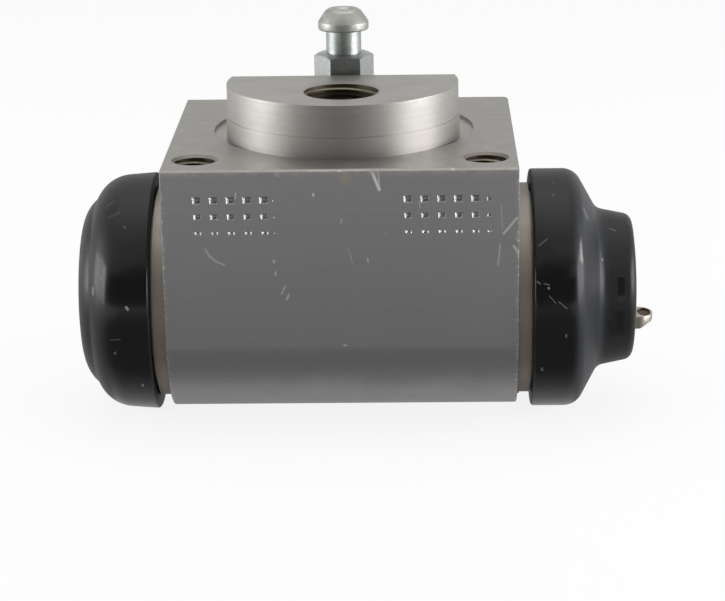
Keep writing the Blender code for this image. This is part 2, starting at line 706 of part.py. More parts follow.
def pressed_boot_corners(bead_end, fold):
    """The outer side with the piston in: a round shoulder, a crease and a bulging ring round the nose."""
    ring = bead_end + PRESSED_REACH
    return [
        (NECK_END + PRESSED_SHOULDER, PRESSED_SHOULDER_RADIUS, PRESSED_SHOULDER_ROUND),
        (NECK_END + PRESSED_CREASE, PRESSED_CREASE_RADIUS, PRESSED_CREASE_ROUND),
        (ring, PRESSED_NOSE_RADIUS, PRESSED_NOSE_ROUND),
        (ring, fold, FOLD_ROUND),
    ]


def boot_outline(bead_start, corners):
    """A boot's whole section: foot, outer side, fold and bead, and an inner side that keeps its wall even."""
    fold = NOSE_RADIUS + FOLD_CLEARANCE
    outer = corners(bead_start + BEAD_WIDTH, fold)
    line = [(BOOT_START, BOOT_RADIUS), *outer, (bead_start, fold)]
    return rounded(boot_foot() + outer + boot_bead(bead_start) + inside_of(line, BOOT_WALL))


def main():
    for old in list(bpy.data.objects):
        bpy.data.objects.remove(old, do_unlink=True)

    aluminium = material("machined_aluminium", (0.42, 0.41, 0.39), 0.9, 0.42)
    zinc = material("zinc_plated_steel", (0.62, 0.64, 0.62), 0.95, 0.3)
    anodised = material("anodised_piston", (0.55, 0.52, 0.46), 0.85, 0.4)
    boot_rubber = material("boot_rubber", (0.02, 0.02, 0.022), 0.0, 0.5)
    seal_rubber = material("seal_rubber", (0.03, 0.03, 0.03), 0.0, 0.6)
    pressed_steel = material("pressed_steel", (0.5, 0.5, 0.5), 0.95, 0.35)
    spring_steel = material("spring_steel", (0.4, 0.4, 0.42), 0.95, 0.3)

    make_housing(aluminium)
    make_bleeder(zinc)

    spring_seat = EXPANDER_FACE - EXPANDER_SHEET
    spring_ends = []
    for side, skirt_out, turn, corners in (
        ("left", LEFT_SKIRT_OUT, pi, pressed_boot_corners),
        ("right", RIGHT_SKIRT_OUT, 0, drawn_boot_corners),
    ):
        direction = cos(turn)
        inner_face = NECK_END + skirt_out - SKIRT_LENGTH
        carrier = add_empty("piston_axis_" + side, (direction * inner_face, BORE_Y, BORE_Z), turn)
        make_piston(side, carrier, anodised)
        make_seal(side, carrier, seal_rubber)
        make_expander(side, carrier, pressed_steel)
        spring_ends.append(direction * (inner_face + spring_seat))

        groove = inner_face + SKIRT_LENGTH + NOSE_GROOVE_START
        bead_start = groove + (NOSE_GROOVE_WIDTH - BEAD_WIDTH) / 2
        neck = add_empty("neck_axis_" + side, (0, BORE_Y, BORE_Z), turn)
        boot = turned("boot_" + side, boot_outline(bead_start, corners), "X", BOOT_SEGMENTS)
        add_object("boot_" + side, boot, neck, boot_rubber)

    bore_axis = add_empty("bore_axis", (0, BORE_Y, BORE_Z))
    make_spring(*spring_ends, bore_axis, spring_steel)


main()
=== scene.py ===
# %% [markdown]
# # A drum brake's wheel cylinder
#
# A wheel cylinder turns brake fluid's pressure into a push. Two pistons slide in one bore, each under a
# rubber dust boot, and press the brake shoes apart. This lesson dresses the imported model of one: it keeps
# the model's sizes and joints, and gives each piece its fine shape and its finish.

import math

import bmesh
import bpy
from mathutils import Matrix, Vector


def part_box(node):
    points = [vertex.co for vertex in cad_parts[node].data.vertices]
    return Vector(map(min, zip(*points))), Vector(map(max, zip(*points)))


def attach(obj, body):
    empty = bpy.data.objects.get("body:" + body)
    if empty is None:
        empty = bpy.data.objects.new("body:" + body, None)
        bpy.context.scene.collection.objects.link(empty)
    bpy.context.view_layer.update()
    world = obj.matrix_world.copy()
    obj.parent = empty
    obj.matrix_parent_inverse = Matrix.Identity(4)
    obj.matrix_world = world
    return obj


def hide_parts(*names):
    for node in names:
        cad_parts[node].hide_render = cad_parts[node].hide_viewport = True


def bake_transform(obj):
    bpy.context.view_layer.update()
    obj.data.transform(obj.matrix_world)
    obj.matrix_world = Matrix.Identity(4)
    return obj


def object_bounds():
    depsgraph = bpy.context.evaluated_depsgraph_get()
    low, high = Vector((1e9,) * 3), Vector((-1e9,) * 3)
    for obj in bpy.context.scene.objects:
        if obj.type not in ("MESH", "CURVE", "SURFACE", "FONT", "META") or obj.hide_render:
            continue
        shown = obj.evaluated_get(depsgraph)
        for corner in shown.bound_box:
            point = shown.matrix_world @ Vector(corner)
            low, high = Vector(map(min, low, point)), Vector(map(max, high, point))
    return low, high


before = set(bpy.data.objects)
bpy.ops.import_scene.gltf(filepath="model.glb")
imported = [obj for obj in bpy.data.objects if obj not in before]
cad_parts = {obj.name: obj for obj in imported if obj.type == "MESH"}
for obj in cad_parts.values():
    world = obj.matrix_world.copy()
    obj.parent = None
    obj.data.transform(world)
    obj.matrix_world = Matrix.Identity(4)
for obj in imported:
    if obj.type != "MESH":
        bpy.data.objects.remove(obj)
solid_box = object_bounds()

# %% [markdown]
# ## Sizes
#
# The main places below come from the frame's own boxes, so the fine pieces lie where the solids lie. The
# bore's axis is the middle of a piston, and the bleeder screw turns about the middle of its own box. Sizes
# that no box shows, such as a radius or a groove, are given further on, each where it is first needed.

# %% Places that the frame gives
MM = 0.001
TURN = 2 * math.pi
ALONG_X = Vector((1, 0, 0))
ALONG_Y = Vector((0, 1, 0))
ALONG_Z = Vector((0, 0, 1))


def middle_of(node):
    low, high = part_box(node)
    return (low + high) / 2


housing_low, housing_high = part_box("housing")
NECK_END = housing_high.x
FRONT_Y = housing_low.y
BACK_Y = housing_high.y
PILOT_HEIGHT = housing_high.z
BORE = Vector((0, middle_of("piston_right").y, middle_of("piston_right").z))
SCREW_AXIS = Vector((0, middle_of("bleeder_screw").y, 0))
print("bore axis in mm:", [round(value / MM, 2) for value in BORE])

# %% [markdown]
# ## Camera
#
# The photograph looks down on the cylinder from a little right of its middle with a long lens, which keeps
# the block's edges nearly parallel. The camera is aimed at a point inside the block and rolled a little, as
# a camera held by hand is.

# %% The camera
CAMERA_PLACE = Vector((11.58, -375.66, 86.35)) * MM
CAMERA_AIM = Vector((2.7, -7.1, -24.6)) * MM
CAMERA_ROLL = math.radians(-0.87)
LENS_MM = 125.8
SENSOR_MM = 36

bpy.ops.object.select_all(action="DESELECT")
bpy.ops.object.camera_add(location=CAMERA_PLACE)
camera = bpy.context.object
camera.rotation_euler = (CAMERA_AIM - CAMERA_PLACE).to_track_quat("-Z", "Y").to_euler()
camera.rotation_euler.rotate_axis("Z", CAMERA_ROLL)
camera.data.sensor_fit = "HORIZONTAL"
camera.data.sensor_width = SENSOR_MM
camera.data.lens = LENS_MM
camera.data.clip_start = 0.01
bpy.context.scene.camera = camera
bpy.context.scene.view_settings.view_transform = "Standard"
print("camera stands", round((CAMERA_AIM - CAMERA_PLACE).length, 3), "m from its aim")

# %% [markdown]
# ## Studio
#
# Machined metal and rubber show what stands round them. Two low soft boxes, one at each side, put the
# bright bands on every turned surface, and a weak lamp above fills the top. Small lamps would give sharper
# bands, and the real ones are soft. The world and the floor are white where the camera looks at them,
# through the Light Path node, so no extra light falls on the metal for the sake of it.

# %% Soft boxes
SOFTBOX_DISTANCE = 0.42
SOFTBOX_WIDTH = 0.30
SOFTBOX_HEIGHT = 0.20
SOFTBOX_LIFT = 0.06
SOFTBOXES = {"right": (math.radians(-12), 1.75), "left": (math.radians(187), 1.35)}
TOP_LIGHT_PLACE = Vector((0, 0.10, 0.55))
TOP_LIGHT_SIZE = 0.5
TOP_LIGHT_WATTS = 1.2


def soft_box(name, place, aim, width, height, watts):
    """A rectangular lamp that faces the point aim."""
    bpy.ops.object.select_all(action="DESELECT")
    bpy.ops.object.light_add(type="AREA", location=place)
    lamp = bpy.context.object
    lamp.name = name
    lamp.rotation_euler = (aim - place).to_track_quat("-Z", "Y").to_euler()
    lamp.data.shape = "RECTANGLE"
    lamp.data.size = width
    lamp.data.size_y = height
    lamp.data.energy = watts
    return lamp


for side, (azimuth, watts) in SOFTBOXES.items():
    direction = Vector((math.cos(azimuth), math.sin(azimuth), 0))
    place = direction * SOFTBOX_DISTANCE + ALONG_Z * SOFTBOX_LIFT
    soft_box("soft_box_" + side, place, BORE, SOFTBOX_WIDTH, SOFTBOX_HEIGHT, watts)
soft_box("top_light", TOP_LIGHT_PLACE, BORE, TOP_LIGHT_SIZE, TOP_LIGHT_SIZE, TOP_LIGHT_WATTS)
print("three soft lamps")

# %% [markdown]
# Node trees are easier to read through three small helpers: one adds a node with its settings, one joins a
# value or another node's output to a socket, and one places a shader node group with its inputs filled in.

# %% Node helpers
def add_node(tree, kind, **settings):
    node = tree.nodes.new(kind)
    for name, value in settings.items():
        setattr(node, name, value)
    return node


def feed(tree, socket, source):
    """Joins another node's output to a socket, or sets the socket to a plain value."""
    if isinstance(source, bpy.types.NodeSocket):
        tree.links.new(source, socket)
    else:
        socket.default_value = source


def maths(tree, operation, *values):
    node = add_node(tree, "ShaderNodeMath", operation=operation)
    for socket, value in zip(node.inputs, values):
        feed(tree, socket, value)
    return node.outputs[0]


def remap(tree, value, low, high, to_low=0.0, to_high=1.0):
    """Stretches value from low..high to a new range, and holds it within that range."""
    node = add_node(tree, "ShaderNodeMapRange")
    for socket, source in zip(node.inputs, (value, low, high, to_low, to_high)):
        feed(tree, socket, source)
    return node.outputs["Result"]


def noise(tree, vector, scale, detail=3.0, roughness=0.5):
    node = add_node(tree, "ShaderNodeTexNoise")
    feed(tree, node.inputs["Vector"], vector)
    feed(tree, node.inputs["Scale"], scale)
    node.inputs["Detail"].default_value = detail
    node.inputs["Roughness"].default_value = roughness
    return node.outputs["Fac"]


# %% [markdown]
# The world has three strengths. Matt surfaces take the ambient one. Mirroring surfaces see a room that is
# dim behind the camera up to about 44 degrees and bright above that, which is what makes a boot grey above
# and nearly black below. The camera sees plain white.

# %% The world
AMBIENT = 0.55
DIM_ROOM = 0.125
BRIGHT_ROOM = 0.78
ROOM_LEAN = math.radians(44)
ROOM_CHANGE = 0.15
PLAIN_WHITE = (1, 1, 1, 1)

world = bpy.data.worlds.new("studio")
world.use_nodes = True
bpy.context.scene.world = world
tree = world.node_tree
tree.nodes.clear()
light_path = add_node(tree, "ShaderNodeLightPath")
direction = add_node(tree, "ShaderNodeTexCoord")
above_the_dim_part = add_node(tree, "ShaderNodeVectorMath", operation="DOT_PRODUCT")
feed(tree, above_the_dim_part.inputs[0], direction.outputs["Generated"])
feed(tree, above_the_dim_part.inputs[1], (0, math.sin(ROOM_LEAN), math.cos(ROOM_LEAN)))
height = above_the_dim_part.outputs["Value"]
room = remap(tree, height, -ROOM_CHANGE, ROOM_CHANGE, DIM_ROOM, BRIGHT_ROOM)
ambient = add_node(tree, "ShaderNodeBackground")
ambient.inputs["Strength"].default_value = AMBIENT
reflected = add_node(tree, "ShaderNodeBackground")
feed(tree, reflected.inputs["Strength"], room)
seen = add_node(tree, "ShaderNodeBackground")
for background in (ambient, reflected, seen):
    background.inputs["Color"].default_value = PLAIN_WHITE
glossy_mix = add_node(tree, "ShaderNodeMixShader")
feed(tree, glossy_mix.inputs[0], light_path.outputs["Is Glossy Ray"])
feed(tree, glossy_mix.inputs[1], ambient.outputs[0])
feed(tree, glossy_mix.inputs[2], reflected.outputs[0])
from_camera = light_path.outputs["Is Camera Ray"]
looked_at = maths(tree, "MAXIMUM", from_camera, light_path.outputs["Is Transmission Ray"])
camera_mix = add_node(tree, "ShaderNodeMixShader")
feed(tree, camera_mix.inputs[0], looked_at)
feed(tree, camera_mix.inputs[1], glossy_mix.outputs[0])
feed(tree, camera_mix.inputs[2], seen.outputs[0])
feed(tree, add_node(tree, "ShaderNodeOutputWorld").inputs["Surface"], camera_mix.outputs[0])
print("world of", len(tree.nodes), "nodes")

# %% [markdown]
# The floor is one plane just under the object. The camera sees it nearly white, with the object's soft
# shadow on it. Shiny surfaces see another brightness there: dim in front, a little less dim far in front,
# fully bright at both sides, and half bright under the block and behind it. An evenly white floor would
# make the front as pale as the top.

# %% The floor's brightness, and where it changes
FLOOR_GAP = 0.05 * MM
FLOOR_SIZE = 4.0
FLOOR_WHITE = 0.8
FLOOR_ROUGHNESS = 0.9
FLOOR_SHOWN_WHITE = 0.86
FLOOR_IN_FRONT = 0.088
FLOOR_FAR_IN_FRONT = 0.25
FLOOR_BESIDE = 1.0
FLOOR_UNDER = 0.5
FAR_IN_FRONT_Y = (-0.09, -0.16)
BESIDE_X = (0.07, 0.15)
UNDER_Y = (-0.028, -0.018)
print("floor seen in mirrors: from", FLOOR_IN_FRONT, "to", FLOOR_BESIDE)

# %% The floor
bpy.ops.object.select_all(action="DESELECT")
bpy.ops.mesh.primitive_plane_add(size=FLOOR_SIZE, location=(0, 0, solid_box[0][2] - FLOOR_GAP))
floor = bpy.context.object
floor.name = "floor"
floor_finish = bpy.data.materials.new("pale_floor")
floor_finish.use_nodes = True
tree = floor_finish.node_tree
shader = tree.nodes["Principled BSDF"]
shader.inputs["Base Color"].default_value = (FLOOR_WHITE, FLOOR_WHITE, FLOOR_WHITE, 1)
shader.inputs["Roughness"].default_value = FLOOR_ROUGHNESS
shader.inputs["Specular IOR Level"].default_value = 0.0
place = add_node(tree, "ShaderNodeTexCoord")
parts_of_place = add_node(tree, "ShaderNodeSeparateXYZ")
feed(tree, parts_of_place.inputs[0], place.outputs["Object"])
light_path = add_node(tree, "ShaderNodeLightPath")
aside = maths(tree, "ABSOLUTE", parts_of_place.outputs["X"])
in_depth = parts_of_place.outputs["Y"]
in_front = remap(tree, in_depth, *FAR_IN_FRONT_Y, FLOOR_IN_FRONT, FLOOR_FAR_IN_FRONT)
beside = remap(tree, aside, *BESIDE_X, in_front, FLOOR_BESIDE)
under = remap(tree, in_depth, *UNDER_Y, 0.0, FLOOR_UNDER)
mirrored = maths(tree, "MAXIMUM", beside, under)
brightness = remap(tree, light_path.outputs["Is Camera Ray"], 0.0, 1.0, mirrored, 1.0)
glow = add_node(tree, "ShaderNodeEmission")
feed(tree, glow.inputs["Strength"], brightness)
looked_at = maths(tree, "MAXIMUM", light_path.outputs["Is Camera Ray"], light_path.outputs["Is Glossy Ray"])
looked_at = maths(tree, "MAXIMUM", looked_at, light_path.outputs["Is Transmission Ray"])
share = maths(tree, "MULTIPLY", looked_at, FLOOR_SHOWN_WHITE)
mix = add_node(tree, "ShaderNodeMixShader")
feed(tree, mix.inputs[0], share)
feed(tree, mix.inputs[1], shader.outputs[0])
feed(tree, mix.inputs[2], glow.outputs[0])
feed(tree, tree.nodes["Material Output"].inputs["Surface"], mix.outputs[0])
floor.data.materials.append(floor_finish)
print("floor at", round(floor.location.z / MM, 2), "mm")

# %% [markdown]
# ## Shared effects
#
# Five effects turn up on several surfaces, so each is a node group made once. Tone patches are the cloudy
# differences that handling and washing leave. Stretched lines are the marks of a die or a milling cutter,
# turned lines are the rings of a lathe tool, and nicks are the small bright knocks. A stroke is one scratch
# or spot: it is full on the way from its start and fades with the distance from it. The nodes could be laid
# anew in every material, but then a better scratch would have to be made in each of them.

# %% Group helpers
def new_group(name, inputs, output):
    """An empty node group with named inputs, each (name, socket type, value), and one output."""
    group = bpy.data.node_groups.new(name, "ShaderNodeTree")
    for label, kind, value in inputs:
        socket = group.interface.new_socket(label, in_out="INPUT", socket_type=kind)
        socket.default_value = value
    group.interface.new_socket(output, in_out="OUTPUT", socket_type="NodeSocketFloat")
    start = group.nodes.new("NodeGroupInput")
    end = group.nodes.new("NodeGroupOutput")
    return group, start.outputs, end.inputs[0]


def use_group(tree, group, **values):
    """Places a group in a material, fills in its inputs and gives its output."""
    node = add_node(tree, "ShaderNodeGroup", node_tree=group)
    for label, value in values.items():
        feed(tree, node.inputs[label.replace("_", " ")], value)
    return node.outputs[0]


def stretched(tree, vector, factors):
    node = add_node(tree, "ShaderNodeVectorMath", operation="MULTIPLY")
    feed(tree, node.inputs[0], vector)
    feed(tree, node.inputs[1], factors)
    return node.outputs[0]


VECTOR = "NodeSocketVector"
FLOAT = "NodeSocketFloat"
NOISE_SPAN = (0.3, 0.7)
TWO_NOISES_SPAN = (0.7, 1.3)
print("a noise is stretched from", NOISE_SPAN, "to the full range")

# %% Tone patches and stretched lines
tone_patches, inside, result = new_group(
    "tone_patches", [("Vector", VECTOR, (0, 0, 0)), ("Size", FLOAT, 10.0)], "Tone"
)
scale = maths(tone_patches, "DIVIDE", 1.0, inside["Size"])
cloud = noise(tone_patches, inside["Vector"], scale, 5.0, 0.6)
feed(tone_patches, result, remap(tone_patches, cloud, *NOISE_SPAN))

stretched_lines, inside, result = new_group(
    "stretched_lines", [("Vector", VECTOR, (0, 0, 0)), ("Stretch", VECTOR, (1, 1, 1))], "Lines"
)
along = stretched(stretched_lines, inside["Vector"], inside["Stretch"])
broad = noise(stretched_lines, along, 1.0, 2.0)
fine = noise(stretched_lines, along, 4.0, 4.0, 0.7)
both = maths(stretched_lines, "ADD", broad, fine)
feed(stretched_lines, result, remap(stretched_lines, both, *TWO_NOISES_SPAN))
print("groups:", tone_patches.name, stretched_lines.name)

# %% Turned lines
turned_lines, inside, result = new_group(
    "turned_lines", [("Vector", VECTOR, (0, 0, 0)), ("Feed", FLOAT, 0.2)], "Lines"
)
places = add_node(turned_lines, "ShaderNodeSeparateXYZ")
feed(turned_lines, places.inputs[0], inside["Vector"])
flat = add_node(turned_lines, "ShaderNodeCombineXYZ")
feed(turned_lines, flat.inputs["X"], places.outputs["X"])
feed(turned_lines, flat.inputs["Y"], places.outputs["Y"])
radius = add_node(turned_lines, "ShaderNodeVectorMath", operation="LENGTH")
feed(turned_lines, radius.inputs[0], flat.outputs[0])
path = add_node(turned_lines, "ShaderNodeCombineXYZ")
feed(turned_lines, path.inputs["X"], radius.outputs["Value"])
feed(turned_lines, path.inputs["Y"], places.outputs["Z"])
scale = maths(turned_lines, "DIVIDE", 1.0, inside["Feed"])
rings = noise(turned_lines, path.outputs[0], scale, 3.0, 0.6)
feed(turned_lines, result, remap(turned_lines, rings, *NOISE_SPAN))
print("group:", turned_lines.name)

# %% Nicks
nicks, inside, result = new_group(
    "nicks",
    [
        ("Vector", VECTOR, (0, 0, 0)),
        ("Spacing", FLOAT, 6.0),
        ("Reach", FLOAT, 0.08),
        ("Share", FLOAT, 0.5),
    ],
    "Nicks",
)
scale = maths(nicks, "DIVIDE", 1.0, inside["Spacing"])
cells = add_node(nicks, "ShaderNodeTexVoronoi")
feed(nicks, cells.inputs["Vector"], inside["Vector"])
feed(nicks, cells.inputs["Scale"], scale)
chance = add_node(nicks, "ShaderNodeSeparateXYZ")
feed(nicks, chance.inputs[0], cells.outputs["Color"])
picked = maths(nicks, "LESS_THAN", chance.outputs["X"], inside["Share"])
near = maths(nicks, "LESS_THAN", cells.outputs["Distance"], inside["Reach"])
feed(nicks, result, maths(nicks, "MULTIPLY", picked, near))
print("group:", nicks.name)

# %% Strokes
STROKE_CORE = 0.3
stroke, inside, result = new_group(
    "stroke",
    [
        ("Vector", VECTOR, (0, 0, 0)),
        ("Start", VECTOR, (0, 0, 0)),
        ("Way", VECTOR, (1, 0, 0)),
        ("Width", FLOAT, 0.1),
    ],
    "Stroke",
)
from_start = add_node(stroke, "ShaderNodeVectorMath", operation="SUBTRACT")
feed(stroke, from_start.inputs[0], inside["Vector"])
feed(stroke, from_start.inputs[1], inside["Start"])
along = add_node(stroke, "ShaderNodeVectorMath", operation="DOT_PRODUCT")
feed(stroke, along.inputs[0], from_start.outputs[0])
feed(stroke, along.inputs[1], inside["Way"])
length = add_node(stroke, "ShaderNodeVectorMath", operation="DOT_PRODUCT")
feed(stroke, length.inputs[0], inside["Way"])
feed(stroke, length.inputs[1], inside["Way"])
share = remap(stroke, maths(stroke, "DIVIDE", along.outputs["Value"], length.outputs["Value"]), 0.0, 1.0)
nearest = add_node(stroke, "ShaderNodeVectorMath", operation="SCALE")
feed(stroke, nearest.inputs[0], inside["Way"])
feed(stroke, nearest.inputs["Scale"], share)
off = add_node(stroke, "ShaderNodeVectorMath", operation="DISTANCE")
feed(stroke, off.inputs[0], from_start.outputs[0])
feed(stroke, off.inputs[1], nearest.outputs[0])
core = maths(stroke, "MULTIPLY", inside["Width"], STROKE_CORE)
feed(stroke, result, remap(stroke, off.outputs["Value"], inside["Width"], core))
print("all groups:", [group.name for group in bpy.data.node_groups])

# %% [markdown]
# ## Metal finishes
#
# One section of extrusion wears several finishes: the drawn skin in front, milled and turned faces where it
# seats, and dark threads. They share a recipe. Two tones are mixed by the tone patches and the tool's lines,
# the lines also drive a shallow bump, and nicks show fresh metal. The grain's direction is what tells them
# apart, so that is each finish's own input.

# %% Material helpers
def new_finish(name, metallic, roughness):
    """A material, its node tree and its shader."""
    finish = bpy.data.materials.new(name)
    finish.use_nodes = True
    tree = finish.node_tree
    shader = tree.nodes["Principled BSDF"]
    shader.inputs["Metallic"].default_value = metallic
    shader.inputs["Roughness"].default_value = roughness
    return finish, tree, shader


def millimetres(tree, centre=(0, 0, 0), turn=(0, 0, 0)):
    """Object coordinates in millimetres from a centre, turned so that a lathe's axis lies on Z."""
    place = add_node(tree, "ShaderNodeTexCoord")
    mapping = add_node(tree, "ShaderNodeMapping", vector_type="TEXTURE")
    mapping.inputs["Location"].default_value = centre
    mapping.inputs["Rotation"].default_value = turn
    mapping.inputs["Scale"].default_value = (MM, MM, MM)
    feed(tree, mapping.inputs["Vector"], place.outputs["Object"])
    return mapping.outputs[0]


def mix_colours(tree, share, first, second):
    node = add_node(tree, "ShaderNodeMix", data_type="RGBA")
    feed(tree, node.inputs["Factor"], share)
    for label, colour in (("A", first), ("B", second)):
        socket = next(item for item in node.inputs if item.name == label and item.type == "RGBA")
        feed(tree, socket, colour if isinstance(colour, bpy.types.NodeSocket) else (*colour, 1))
    return next(item for item in node.outputs if item.type == "RGBA")


def bump(tree, shader, height, depth):
    """Gives a shader a relief. The depth is in metres, as all lengths in the scene are."""
    node = add_node(tree, "ShaderNodeBump")
    node.inputs["Distance"].default_value = depth
    feed(tree, node.inputs["Height"], height)
    feed(tree, shader.inputs["Normal"], node.outputs[0])


def lay_over(tree, shader, mask, colour, roughness):
    """Lays a colour and a roughness over what already feeds a shader, where the mask says so."""
    under_colour = shader.inputs["Base Color"].links[0].from_socket
    feed(tree, shader.inputs["Base Color"], mix_colours(tree, mask, under_colour, colour))
    under_roughness = shader.inputs["Roughness"].links[0].from_socket
    feed(tree, shader.inputs["Roughness"], remap(tree, mask, 0.0, 1.0, under_roughness, roughness))


def strokes_mask(tree, vector, marks):
    """The strongest of many strokes, each (start, end, width, strength) in millimetres."""
    total = 0.0
    for start, end, width, strength in marks:
        way = tuple(b - a for a, b in zip(start, end))
        mark = use_group(tree, stroke, Vector=vector, Start=start, Way=way, Width=width)
        total = maths(tree, "MAXIMUM", total, maths(tree, "MULTIPLY", mark, strength))
    return total


# %% The metal recipe
LINES_SHARE = 0.45
PATCHES_SHARE = 0.55
KNOCKS = {"Spacing": 5.0, "Reach": 0.05, "Share": 0.35}
FRESH_METAL = (0.62, 0.61, 0.58)


def worked_metal(name, dark, light, gloss, lines, place, patch_size=9.0, depth=0.01 * MM, fresh=0.5):
    """A metal's two tones, its gloss range and its bump from the tool's lines.

    gloss gives the roughness of its light and dark patches, and lines the group that draws the tool's
    marks, with that group's settings.
    """
    finish, tree, shader = new_finish(name, 1.0, gloss[0])
    vector = millimetres(tree, *place)
    group, settings = lines
    marks = use_group(tree, group, Vector=vector, **settings)
    patches = use_group(tree, tone_patches, Vector=vector, Size=patch_size)
    knocks = use_group(tree, nicks, Vector=vector, **KNOCKS)
    from_lines = maths(tree, "MULTIPLY", marks, LINES_SHARE)
    from_patches = maths(tree, "MULTIPLY", patches, PATCHES_SHARE)
    colour = mix_colours(tree, maths(tree, "ADD", from_lines, from_patches), dark, light)
    worn = mix_colours(tree, maths(tree, "MULTIPLY", knocks, fresh), colour, FRESH_METAL)
    feed(tree, shader.inputs["Base Color"], worn)
    feed(tree, shader.inputs["Roughness"], remap(tree, patches, 0.0, 1.0, gloss[1], gloss[0]))
    bump(tree, shader, marks, depth)
    return finish


# %% Finishes of the housing's outer faces
ORIGIN = ((0, 0, 0), (0, 0, 0))
BORE_ON_Z = (tuple(BORE), (0, math.radians(90), 0))

skin = worked_metal(
    "drawn_skin",
    (0.415, 0.404, 0.406),
    (0.475, 0.464, 0.466),
    (0.42, 0.52),
    (stretched_lines, {"Stretch": (0.04, 2.2, 2.2)}),
    ORIGIN,
    depth=0.005 * MM,
)
milled = worked_metal(
    "milled_face",
    (0.288, 0.278, 0.259),
    (0.326, 0.315, 0.294),
    (0.40, 0.50),
    (stretched_lines, {"Stretch": (0.10, 1.6, 1.6)}),
    ORIGIN,
    patch_size=4.0,
)
sawn = worked_metal(
    "sawn_end",
    (0.24, 0.235, 0.225),
    (0.36, 0.35, 0.335),
    (0.42, 0.52),
    (stretched_lines, {"Stretch": (1.6, 1.6, 0.08)}),
    ORIGIN,
)
turned_boss = worked_metal(
    "turned_boss",
    (0.295, 0.284, 0.266),
    (0.385, 0.371, 0.350),
    (0.40, 0.48),
    (turned_lines, {"Feed": 0.22}),
    ORIGIN,
    patch_size=7.0,
    depth=0.006 * MM,
    fresh=0.25,
)
turned_neck = worked_metal(
    "turned_neck",
    (0.190, 0.173, 0.150),
    (0.270, 0.250, 0.224),
    (0.46, 0.56),
    (turned_lines, {"Feed": 0.25}),
    BORE_ON_Z,
    fresh=0.3,
)
print("finishes of the outer faces:", len(bpy.data.materials) - 1)

# %% Finishes of the bore, the threads and the pits
honed_bore = worked_metal(
    "honed_bore",
    (0.26, 0.25, 0.235),
    (0.34, 0.33, 0.31),
    (0.25, 0.35),
    (turned_lines, {"Feed": 0.12}),
    BORE_ON_Z,
)
oiled_thread = worked_metal(
    "oiled_thread",
    (0.095, 0.080, 0.058),
    (0.240, 0.215, 0.165),
    (0.30, 0.42),
    (turned_lines, {"Feed": 0.3}),
    ORIGIN,
    patch_size=2.0,
)
thread_crest = worked_metal(
    "thread_crest",
    (0.12, 0.105, 0.080),
    (0.28, 0.255, 0.200),
    (0.30, 0.42),
    (turned_lines, {"Feed": 0.3}),
    ORIGIN,
    patch_size=2.0,
)
struck_pit = worked_metal(
    "struck_pit",
    (0.37, 0.36, 0.35),
    (0.56, 0.55, 0.53),
    (0.30, 0.42),
    (stretched_lines, {"Stretch": (2.0, 2.0, 2.0)}),
    ORIGIN,
    patch_size=1.2,
)
# A lighter copy of the pit's finish, for the walls that face the right lamp: a painted highlight.
painted_highlight_pit = worked_metal(
    "painted_highlight_pit",
    (0.58, 0.57, 0.55),
    (0.76, 0.75, 0.73),
    (0.50, 0.60),
    (stretched_lines, {"Stretch": (2.0, 2.0, 2.0)}),
    ORIGIN,
    patch_size=1.2,
)
print("housing finishes:", len(bpy.data.materials) - 1)

# %% [markdown]
# The front has a history: a gouge that starts at its top edge, thin scratches, small knocks, two yellowish
# stains, and ragged burrs along its sawn ends. A pale band under its top edge is a painted highlight, where
# the edge catches the light from above. Scratches and stains are strokes, each (start, end, width, strength)
# in millimetres at its own place. The band and the burrs are noise that shows only next to an edge. Painting
# all of it on a picture would need a file, and it would blur when seen from close by.

# %% Where the marks on the drawn skin lie
FRONT_MM = FRONT_Y / MM
SCRATCHES = (
    ((4.60, -0.05), (5.74, -3.00), 0.34, 1.0),
    ((5.59, -0.27), (5.78, -2.63), 0.14, 0.7),
    ((-14.87, -3.36), (-14.92, -4.12), 0.14, 0.7),
    ((11.45, -4.96), (11.55, -5.79), 0.12, 0.5),
    ((-3.73, -3.60), (-3.73, -3.85), 0.22, 0.9),
    ((0.30, -7.39), (0.14, -7.97), 0.16, 0.5),
    ((-19.51, -11.66), (-18.90, -12.75), 0.20, 0.45),
    ((-18.90, -12.75), (-18.05, -13.50), 0.22, 0.5),
    ((-18.05, -13.50), (-16.78, -14.10), 0.20, 0.45),
    ((23.21, -5.40), (23.37, -9.05), 0.11, 0.35),
    ((23.55, -9.72), (25.46, -7.40), 0.26, 0.6),
    ((23.06, -11.37), (22.75, -14.38), 0.18, 0.45),
    ((25.00, -11.60), (25.80, -12.77), 0.24, 0.7),
    ((1.19, -11.85), (1.80, -14.03), 0.12, 0.35),
    ((3.91, -13.25), (4.00, -13.78), 0.20, 0.6),
    ((-9.64, -13.43), (-9.64, -13.73), 0.20, 0.7),
    ((-9.45, -15.16), (-9.43, -15.61), 0.20, 0.6),
    ((-8.63, -18.49), (-8.11, -17.43), 0.20, 0.5),
    ((-7.86, -19.33), (-7.60, -18.65), 0.22, 0.6),
    ((-9.10, -0.40), (-8.70, -0.90), 0.25, 0.35),
    ((0.30, -26.33), (0.66, -26.41), 0.20, 0.6),
)
STAINS = (
    ((0.60, -1.50), (1.35, -1.45), 0.80, 0.45),
    ((0.95, -1.90), (1.20, -2.10), 0.60, 0.35),
    ((1.50, -33.90), (2.00, -34.00), 0.90, 0.6),
)
print("marks on the skin:", len(SCRATCHES) + len(STAINS))

